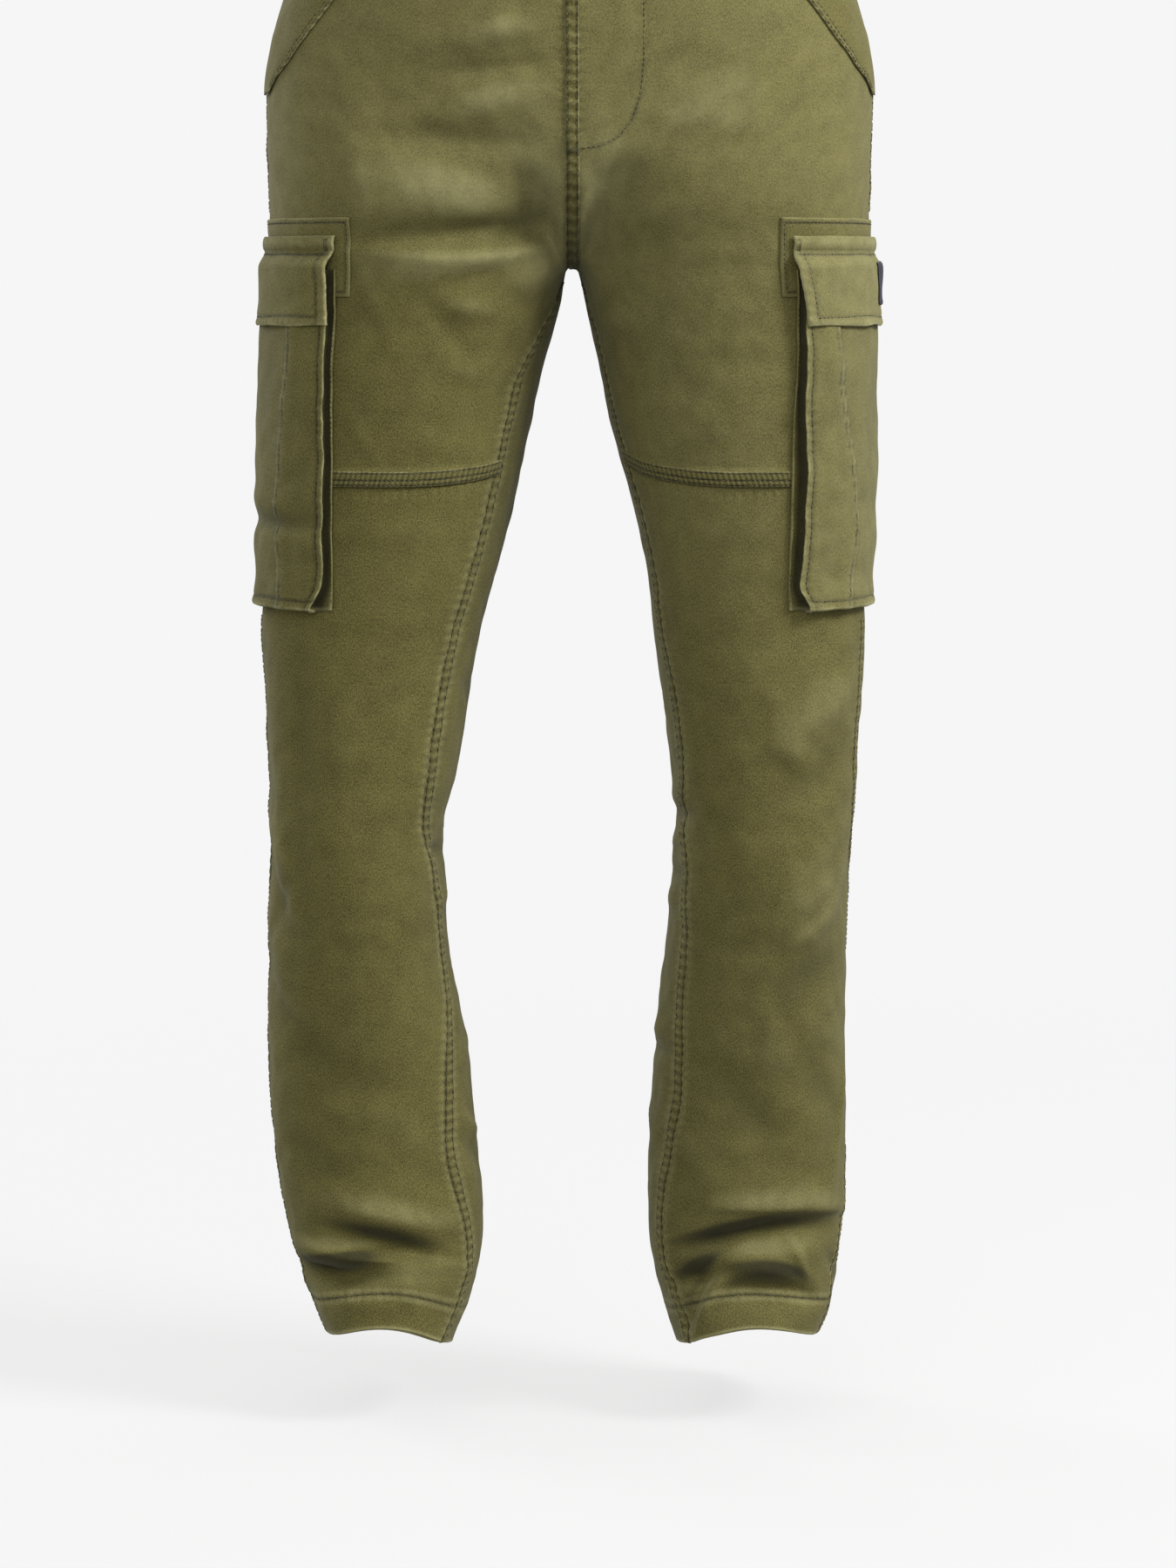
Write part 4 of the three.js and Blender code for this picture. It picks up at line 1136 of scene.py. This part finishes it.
def makeStay(leg):
    s = staySet
    front = s["front"][leg]

    def place(a, z):
        angle = mix(front, s["back"], a)
        wide = degreesWide(leg, z)
        ends = np.minimum((front - angle) * wide, (angle - s["back"]) * wide)
        edge = np.minimum(ends, np.minimum(s["top"] - z, z - s["bottom"]))
        shift = 0.35 * noise(z / 11, 3) * bell(ends, 4)
        level = z + 0.4 * noise(angle / 7, 9) * bell(s["top"] - z, 4)
        wave = np.sin(angle * 1.5) * np.sin(z * 0.86)
        near = bell(edge - s["stitchIn"], 0.9)
        height = s["lift"] + s["thick"] - 0.55 * bell(edge, 0.7) - 0.35 * near + 0.16 * wave
        worn = 0.16 * bell(edge, 0.8) + 0.12 * bell(edge, 5) + 0.04
        # painted shade in the groove of the stitching
        marks = dict(worn=worn, deep=0.9 * near, pucker=0.4 * near, puckerAcross=0.4 * near)
        return over(leg, sideAngleU(angle + shift), level, height), marks

    name = f"stay_{leg}"
    heights = steps((s["top"], 2), (s["top"] - 2, 34), (s["bottom"] + 2, 2), (s["bottom"], 0))
    clothPiece(name, 124, heights, place, leg, [f"cargo_stay_{leg}"], s["thick"])
    inset, wide = s["stitchIn"], degreesWide(leg, -275.0)
    first, last = front - inset / wide, s["back"] + inset / wide
    high = s["lift"] + s["thick"]
    down = np.arange(s["top"] - inset, s["bottom"] + inset, -2.0)
    runs = [
        sideRun(leg, first, down, high),
        sideRun(leg, last, down, high),
        sideRun(leg, np.arange(first, last, -1.2), s["top"] - inset, high),
        sideRun(leg, np.arange(first, front - s["lowRow"], -1.2), s["bottom"] + inset, high),
    ]
    stitches(f"stay_stitches_{leg}", runs, name, size=(2.7, 0.7, 0.55), pitch=3.3)


def bagFace(leg, angle, z):
    # the height of the bag's face over the leg, with its lapped seam, its dents and its marks
    wide = degreesWide(leg, z)
    toSeam = (angle - along(bagSeams[leg], z)) * wide
    lap = 1.6 * smooth(-0.6, 0.5, toSeam) * (1 - smooth(6, 18, toSeam))
    lap = lap - 0.4 * bell(toSeam - 3.2, 1.0)
    wave = np.sin(2 * math.pi * z / 7.4 + 2 * noise(z / 21, 5)) * bell(toSeam - 2, 4.5)
    height = bagStand(leg, angle, z) + 0.5 + lap + 0.22 * wave
    hollow = 0.0
    for at, level, reach, tall, depth in bagDents[leg]:
        dent = depth * bell(angle - at, reach) * bell(z - level, tall)
        height = height + dent
        hollow = hollow + np.maximum(-dent, 0)
    worn = 0.28 * bell(toSeam - 0.4, 0.9) * (0.55 + 0.45 * noise(z / 8, 2))
    worn = worn + 0.12 * np.clip(wave, 0, 1)
    # painted shade under the lapped seam's edge, in its stitch groove and in the dents
    deep = 0.75 * bell(toSeam + 1.4, 1.0) + 0.75 * bell(toSeam - 3.2, 0.8)
    deep = deep + 0.13 * hollow
    return height, worn, deep


def bagFront(leg, z):
    # the front edge of the face, a little wavy, turned in at its bottom corner
    seed = 7 if leg == "right" else 17
    s = bagSet
    wavy = s["edgeWave"] * noise(z / 13, seed) + 0.35 * noise(z / 5.2, seed + 1)
    corner = s["corner"] * smooth(s["cornerFrom"], s["cornerTo"], z)
    return curve(bagEdges[leg], 2, z) + wavy * smooth(-300, -330, z) / 1.7 - corner


def makeBag(leg):
    s = bagSet
    # across: which part, its share, millimetres in from the face's edge, how far out it stands, and its lip.
    # The parts are the bellows in front (1), the face (0) and the bellows behind (-1)
    folds = [
        [1, 1.0, 0, 0.0, 0.95], [1, 0.94, 0, 0.02, 1.7], [1, 0.86, 0, 0.03, 1.9], [1, 0.77, 0, 0.02, 1.2],
        [1, 0.64, 0, 0.0, 0.5], [1, 0.45, 0, 0.0, 0.4], [1, 0.25, 0, 0.0, 0.4], [1, 0.05, 0, 0.03, 0.4],
        [1, 0, 1.5, 0.1, 0.4], [1, 0, 2.7, 0.24, 0.3], [1, 0, 3.0, 0.42, 0.2], [1, 0, 2.6, 0.6, 0.1],
        [1, 0, 1.7, 0.76, 0.0], [1, 0, 0.8, 0.88, 0.0], [1, 0, 0.2, 0.96, 0.1], [1, 0, 0.0, 1.0, 0.3],
        [1, 0, 0.5, 1.0, 0.7], [1, 0, 1.3, 1.0, 0.8], [1, 0, 2.3, 1.0, 0.45], [1, 0, 3.3, 1.0, 0.15],
        [1, 0, 4.6, 1.0, 0.0],
    ]
    folds += [[0, share, 0, 1.0, 0.0] for share in np.linspace(0, 1, 78)]
    folds += [
        [-1, 0, 3.2, 1.0, 0.0], [-1, 0, 1.6, 1.0, 0.5], [-1, 0, 0.5, 1.0, 0.6], [-1, 0.05, 0, 0.9, 0.2],
        [-1, 0.12, 0, 0.6, 0.3], [-1, 0.22, 0, 0.3, 0.6], [-1, 0.4, 0, 0.08, 0.9], [-1, 0.68, 0, 0.0, 1.2],
        [-1, 0.88, 0, 0.0, 1.6], [-1, 1.0, 0, 0.0, 0.95],
    ]
    folds = np.array(folds, float)
    columns = len(folds) - 1
    # down: the face, then its bottom edge turned under
    downs = [[7 + up, 1.0, 0.0] for up in np.linspace(s["top"] - s["bottom"] - 7, 0, 106)]
    downs += [[5, 1, 0.1], [3.2, 1, 0.45], [1.7, 1, 0.6], [0.6, 0.97, 0.4], [0.1, 0.86, 0.2]]
    downs += [[0, 0.6, 0.2], [0, 0.3, 0.3], [0.2, 0.1, 0.5], [0, 0.0, 0.6]]
    downs = np.array(downs) + [s["bottom"], 0, 0]

    def place(a, row):
        i = np.rint(a * columns).astype(int)
        j = np.rint(row).astype(int)
        part, share, inward, out, lip = (folds[i, k] for k in range(5))
        z, outDown, lipDown = (downs[j, k] for k in range(3))
        wide = degreesWide(leg, z)
        legEdge, back, heel = (curve(bagEdges[leg], k, z) for k in (1, 3, 4))
        front = bagFront(leg, z)
        angle = mix(front - 5.6 / wide, back + 4.2 / wide, share)
        angle = np.where(part > 0, mix(front, legEdge, share) - inward / wide, angle)
        angle = np.where(part < 0, mix(back, heel, share) + inward / wide, angle)
        level = z + 0.8 * noise(angle / 9, 12) * smooth(-499, -520, z)
        ground = mix(1.15, stayTop, smooth(-316, -308, z))
        faceHigh, worn, deep = bagFace(leg, angle, z)
        outer = out * outDown
        height = mix(ground, faceHigh, outer) + lip * mix(0.55, 1.0, outDown) + lipDown * out
        toFront = (front - angle) * wide
        toBottom = z - s["bottom"]
        dip = bell(toFront - s["stitchIn"], 0.9)
        dip = np.maximum(dip, bell(toBottom - s["bottomStitch"], 1.0))
        height = height - 0.5 * dip * outer
        pucker = bell(toFront - 3, 4.0) * outer
        height = height + 0.32 * pucker * np.sin(2 * math.pi * z / 6.4 + 2.4 * noise(z / 19, 14))
        bottomPucker = bell(toBottom - 5, 5.0) * outer
        height = height + 0.35 * bottomPucker * np.sin(angle * 1.45 + 2 * noise(angle / 9, 24))
        edgeWear = bell(toFront - 0.4, 0.8) * (0.6 + 0.5 * noise(z / 6, 31)) * outer
        bottomWear = bell(toBottom - 1.0, 1.4) * (0.6 + 0.4 * noise(angle / 4, 32))
        seamed = np.where(part > 0, bell(share - 0.88, 0.1), 0) * (0.7 + 0.5 * noise(z / 7, 33))
        worn = (worn + s["faded"][leg]) * outer + 0.85 * edgeWear + 0.75 * bottomWear + 0.4 * seamed
        # painted shade in the bellows' valley and in the stitch grooves
        valley = np.where(part > 0, 1 - smooth(0.3, 0.72, share), 0) * smooth(0.02, 0.15, 1 - outer)
        deep = deep * outer + 0.95 * valley + 0.85 * dip * outer
        marks = dict(worn=worn, deep=deep, pucker=0.35 * pucker, puckerAcross=0.3 * bottomWear)
        return over(leg, sideAngleU(angle), level, height), marks

    name = f"bag_{leg}"
    rows = np.arange(len(downs), dtype=float)
    clothPiece(name, columns, rows, place, leg, [f"cargo_bag_{leg}"], s["wall"] - 0.3)
    z = np.arange(-330, -515, -2.2)
    front = bagFront(leg, z) - s["stitchIn"] / degreesWide(leg, z)
    lapped = along(bagSeams[leg], z) + s["lapStitch"] / degreesWide(leg, z)
    low = s["bottom"] + s["bottomStitch"]
    across = np.arange(bagFront(leg, low) - 4, curve(bagEdges[leg], 3, low) + 3, -1.3)
    down = np.arange(-310, -519, -2.2)
    rib = mix(curve(bagEdges[leg], 1, down), curve(bagEdges[leg], 2, down), 0.13)
    sewn = [(front, z, -0.3), (lapped, z, 0.05), (across, low, -0.3)]
    runs = [sideRun(leg, angle, z, bagFace(leg, angle, z)[0] + lift) for angle, z, lift in sewn]
    runs.append(sideRun(leg, rib, down, 3.0))
    stitches(f"bag_stitches_{leg}", runs, name, **closeStitch)


def flapTop(leg, angle, z):
    # the height of the flap's outer face: a full welt at the top, a step, then out over the bag
    s = flapSet
    drop = s["top"] - z
    welt = s["weltHigh"] * np.sqrt(np.clip(np.sin(np.clip(drop / s["weltDrop"], 0, 1) * math.pi), 0, 1))
    gather = 0.2 * np.sin(angle * 1.35 + 1.5 * noise(angle / 12, 4)) * bell(drop - 12, 7)
    height = flapStand(leg, angle, z) + s["wall"] + welt + gather + flapFlare(z)
    return height + 0.5 * noise(angle / 9 + z / 31, 13 if leg == "right" else 23) * smooth(-272, -300, z)


def makeFlap(leg):
    s = flapSet
    seed = 3 if leg == "right" else 5

    def edges(z):
        front = along(flapEdges[leg], z) + 0.35 * noise(z / 9, seed) * smooth(-275, -288, z)
        return front, s["back"] + 0.3 * noise(z / 9, seed + 1)

    def place(a, z):
        front, back = edges(z)
        angle = mix(front, back, a)
        wide = degreesWide(leg, z)
        toFront, toBack = (front - angle) * wide, (angle - back) * wide
        toSide = np.minimum(toFront, toBack)
        toBottom = z - s["bottom"]
        edge = np.minimum(toSide, toBottom)
        level = z + 0.7 * noise(angle / 8, seed + 2) * smooth(-300, -326, z)
        dip = bell(toSide - s["stitchIn"], 1.0) * smooth(-272.5, -277.5, z)
        dip = np.maximum(dip, bell(toBottom - s["stitchUp"], 1.0) * smooth(5, 8, toSide))
        under = bell(z - s["weltStitch"], 1.2)
        rim = 0.35 * bell(edge - 2.2, 1.6)
        wave = np.sin(2 * math.pi * z / 6.6 + noise(z / 15, seed + 3)) * bell(toSide - 3, 4)
        waveDown = np.sin(angle * 1.6 + noise(angle / 9, seed + 4)) * bell(toBottom - 3, 4)
        height = flapTop(leg, angle, z) - 0.55 * dip - 0.35 * under + rim + 0.24 * wave + 0.24 * waveDown
        height = height - 0.5 * bell(edge, 0.8)
        ragged = 0.65 + 0.45 * noise((z + angle * 1.7) / 5, seed + 6)
        worn = 0.9 * bell(edge, 1.25) * ragged + 0.14 * bell(edge, 5)
        worn = worn + 0.35 * np.exp(-(((toFront - 1) ** 2 + (toBottom - 1) ** 2) / 22))
        worn = worn + 0.26 * bell(z + 268.5, 2.4) * ragged + s["faded"][leg]
        # painted shade in the stitch grooves and under the welt
        marks = dict(worn=worn, deep=0.85 * dip + 0.85 * under, pucker=0.3 * bell(toSide, 6),
                     puckerAcross=0.3 * bell(toBottom, 6))
        return over(leg, sideAngleU(angle), level, height), marks

    name = f"flap_{leg}"
    heights = steps((s["top"], 12), (-276.5, 4), (-280, 28), (-324.5, 3), (s["bottom"], 0))
    clothPiece(name, 112, heights, place, leg, [f"cargo_flap_{leg}"], s["wall"] - 0.3)
    z = np.arange(-278.5, s["bottom"] + s["stitchUp"], -2.0)
    wide = degreesWide(leg, z)
    front, back = edges(z)
    first = front[0]
    front, back = front - s["stitchIn"] / wide, back + s["stitchIn"] / wide
    low = s["bottom"] + s["stitchUp"]
    across = np.arange(front[-1], back[-1], -1.2)
    under = np.arange(first - 1.5, -54, -1.2)
    sewn = [(front, z, 0.25), (back, z, 0.25), (across, low, 0.25), (under, s["weltStitch"], 0.1)]
    runs = [sideRun(leg, angle, z, flapTop(leg, angle, z) - sunk) for angle, z, sunk in sewn]
    stitches(f"flap_stitches_{leg}", runs, name, **closeStitch)
    # a bartack at the welt's front corner
    z = np.arange(-266.5, -276, -0.7)
    tacked = [first - s["tackIn"] - k * s["tackApart"] for k in range(3)]
    runs = [sideRun(leg, angle, z, flapTop(leg, angle, z) + 0.05) for angle in tacked]
    stitches(f"flap_bartack_{leg}", runs, name, size=(1.3, 0.9, 0.8), pitch=0.95)


for side in ("right", "left"):
    makeStay(side)
    makeBag(side)
    makeFlap(side)
print("the cargo pockets are made")

# the woven tab on the left flap
tabSet = dict(top=-281.5, bottom=-311.5, front=19.0, back=-9.0, thick=0.9, width=46, stitchIn=1.6)


def makeTab():
    s = tabSet

    def place(a, z):
        angle = mix(s["front"], s["back"], a)
        curl = 0.4 * bell(a - 0.5, 0.5)
        height = flapStand("left", angle, z) + flapSet["wall"] + 1.3 + curl + flapFlare(z)
        edge = np.minimum(np.minimum(a, 1 - a) * s["width"], np.minimum(s["top"] - z, z - s["bottom"]))
        return over("left", sideAngleU(angle), z, height), dict(worn=0.8 * bell(edge, 0.9))

    heights = steps((s["top"], 22), (s["bottom"], 0))
    name = "tab"
    clothPiece(name, 30, heights, place, "left", ["flap_tab"], s["thick"] - 0.2, tape)
    angle = np.arange(s["front"] - 1, s["back"] + 1, -1.2)
    runs = []
    for z in (s["top"] - s["stitchIn"], s["bottom"] + s["stitchIn"]):
        high = flapStand("left", angle, z) + flapSet["wall"] + 1.75 + flapFlare(z)
        runs.append(sideRun("left", angle, z, high))
    stitches("tab_stitches", runs, name, size=(2.2, 0.55, 0.45), pitch=2.8)


makeTab()

# the waistband runs from under the lap round to over it
waistSet = dict(overX=-5.0, underX=30.0, rise=3.6, riseFrom=326.0, riseTo=344.5, thick=3.0, stitchIn=2.4)


def makeWaistband():
    s = waistSet
    outer = legLevels["left"][0][2]
    under, lapped = (math.degrees(math.asin(s[end] / outer)) for end in ("underX", "overX"))
    start, end = -under, 360 - lapped

    def points(turn, z, height):
        u = np.abs(np.where(turn < 180, turn, turn - 360)) / 180
        raised = np.asarray(s["rise"] * smooth(s["riseFrom"], s["riseTo"], turn) + height)

        def sidePoints(leg):
            normal = outward(plainPoints, leg, np.maximum(u, 1e-3), z)
            return plainPoints(leg, u, z) + normal * raised[..., None], normal

        return eitherSide((turn < 0) | ((turn > 180) & (turn <= 360)), sidePoints)

    def place(a, z):
        turn = mix(start, end, a)
        toTop, toBottom = -z, z + cut["band"]
        edge = np.minimum(toTop, toBottom)
        dip = bell(edge - s["stitchIn"], 0.9)
        wave = np.sin(turn * 3.0 + 2 * noise(turn / 11, 3)) * bell(edge, 6)
        height = s["thick"] / 2 - 0.3 * dip + 0.18 * wave - 0.5 * bell(edge, 0.8)
        height = height + 0.25 * noise(turn / 6, 21)
        worn = 0.55 * bell(toTop, 1.4) + 0.3 * bell(toBottom, 1.4) + 0.06
        # painted shade in the stitch grooves
        return points(turn, z, height)[0], dict(worn=worn, deep=0.2 * dip, puckerAcross=0.35 * dip)

    heights = steps((0, 3), (-3, 12), (-37, 3), (waistSeam + 0.17, 0))
    clothPiece("waist_band", 330, heights, place, None, ["waistband"], s["thick"] - 0.4)
    turn = np.linspace(start + 1, end - 1, 420)
    rows = (-s["stitchIn"], s["stitchIn"] - cut["band"])
    runs = [points(turn, np.full(turn.shape, z), s["thick"] / 2 - 0.1) for z in rows]
    stitches("waist_stitches", runs, "waist_band")


makeWaistband()

# the camera stands at the height of the thighs and looks a little down
cameraSet = dict(
    distance=3200.0, height=-310.0, scale=0.62, middleX=675, middleY=900, originX=656, originY=-150,
    sensor=36, pictureHeight=1800,
)


def makeCamera():
    s = cameraSet
    data = bpy.data.cameras.new("camera")
    camera = addObject("camera", data)
    targetX = (s["middleX"] - s["originX"]) * s["scale"]
    targetZ = -(s["middleY"] - s["originY"]) * s["scale"]
    camera.location = (0.0, -s["distance"] * mm, s["height"] * mm)
    aim = Vector((targetX, 0, targetZ)) * mm - camera.location
    camera.rotation_euler = aim.to_track_quat("-Z", "Y").to_euler()
    data.sensor_fit = "VERTICAL"
    data.sensor_height = s["sensor"]
    data.lens = aim.length / mm / s["scale"] * s["sensor"] / s["pictureHeight"]
    data.clip_start = 0.05
    bpy.context.scene.camera = camera


studio = dict(
    backdrop=0.92, above=0.95, below=0.16, floorZ=-1.1, floorFrom=0.7, floorTo=2.2, floorCover=0.25,
    middle=(0, 0, -0.55),
    lamps=dict(
        key=dict(at=(2.5, -1.15, 1.6), size=1.1, power=112),
        front=dict(at=(-0.7, -3.4, 0.9), size=1.6, power=19),
        rim=dict(at=(-2.4, 2.0, 1.2), size=1.2, power=30),
    ),
)


def makeStudio():
    s = studio
    scene = bpy.context.scene
    scene.view_settings.view_transform = "Standard"
    world = bpy.data.worlds.new("studio")
    scene.world = world
    world.use_nodes = True
    tree = world.node_tree
    backdrop = tree.nodes["Background"]
    backdrop.inputs["Color"].default_value = (1, 1, 1, 1)
    seen = Value(tree, tree.nodes.new("ShaderNodeLightPath").outputs["Is Camera Ray"])
    place = Value(tree, tree.nodes.new("ShaderNodeTexCoord").outputs["Generated"])
    up = Value(tree, addNode(tree, "ShaderNodeSeparateXYZ", None, dict(i0=place)).outputs[2])
    ambient = ((up + 1) / 2).clip() * (s["above"] - s["below"]) + s["below"]
    link(tree, seen * (s["backdrop"] - ambient) + ambient, backdrop.inputs["Strength"])
    for name, lamp in s["lamps"].items():
        light = bpy.data.lights.new(name, "AREA")
        light.size = lamp["size"]
        light.energy = lamp["power"]
        stand = addObject(name, light)
        stand.location = lamp["at"]
        stand.rotation_euler = (Vector(s["middle"]) - stand.location).to_track_quat("-Z", "Y").to_euler()
    bm = bmesh.new()
    bmesh.ops.create_grid(bm, x_segments=1, y_segments=1, size=3)
    bmesh.ops.translate(bm, verts=bm.verts, vec=(0, 0, s["floorZ"]))
    floor = addObject("floor", meshFrom(bm, "floor"))
    floor.visible_diffuse = False
    # the floor fades into the backdrop away from the garment
    shade = Shader("paleFloor")
    place = shade.wrap(shade.place())
    spot = shade.node("ShaderNodeVectorMath", {"operation": "MULTIPLY"}, i0=place, i1=(1, 1, 0))
    length = shade.node("ShaderNodeVectorMath", {"operation": "LENGTH"}, i0=shade.wrap(spot.outputs[0]))
    away = (shade.wrap(length.outputs["Value"]) - s["floorFrom"]) / (s["floorTo"] - s["floorFrom"])
    faded = (1 - away.clip()) * s["floorCover"]
    shade.tree.links.new(faded.socket, shade.surface.inputs["Alpha"])
    shade.surface.inputs["Base Color"].default_value = (0.66, 0.66, 0.66, 1)
    shade.surface.inputs["Roughness"].default_value = 0.95
    shade.surface.inputs["Specular IOR Level"].default_value = 0.0
    floor.data.materials.append(shade.material)


makeCamera()
makeStudio()

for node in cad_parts:
    piece = bpy.data.objects.get(node)
    if piece is not None and not piece.hide_render:
        material = {"flap_tab": tape, "waist_button": horn}.get(node, twill)
        for slot in piece.material_slots:
            slot.material = material
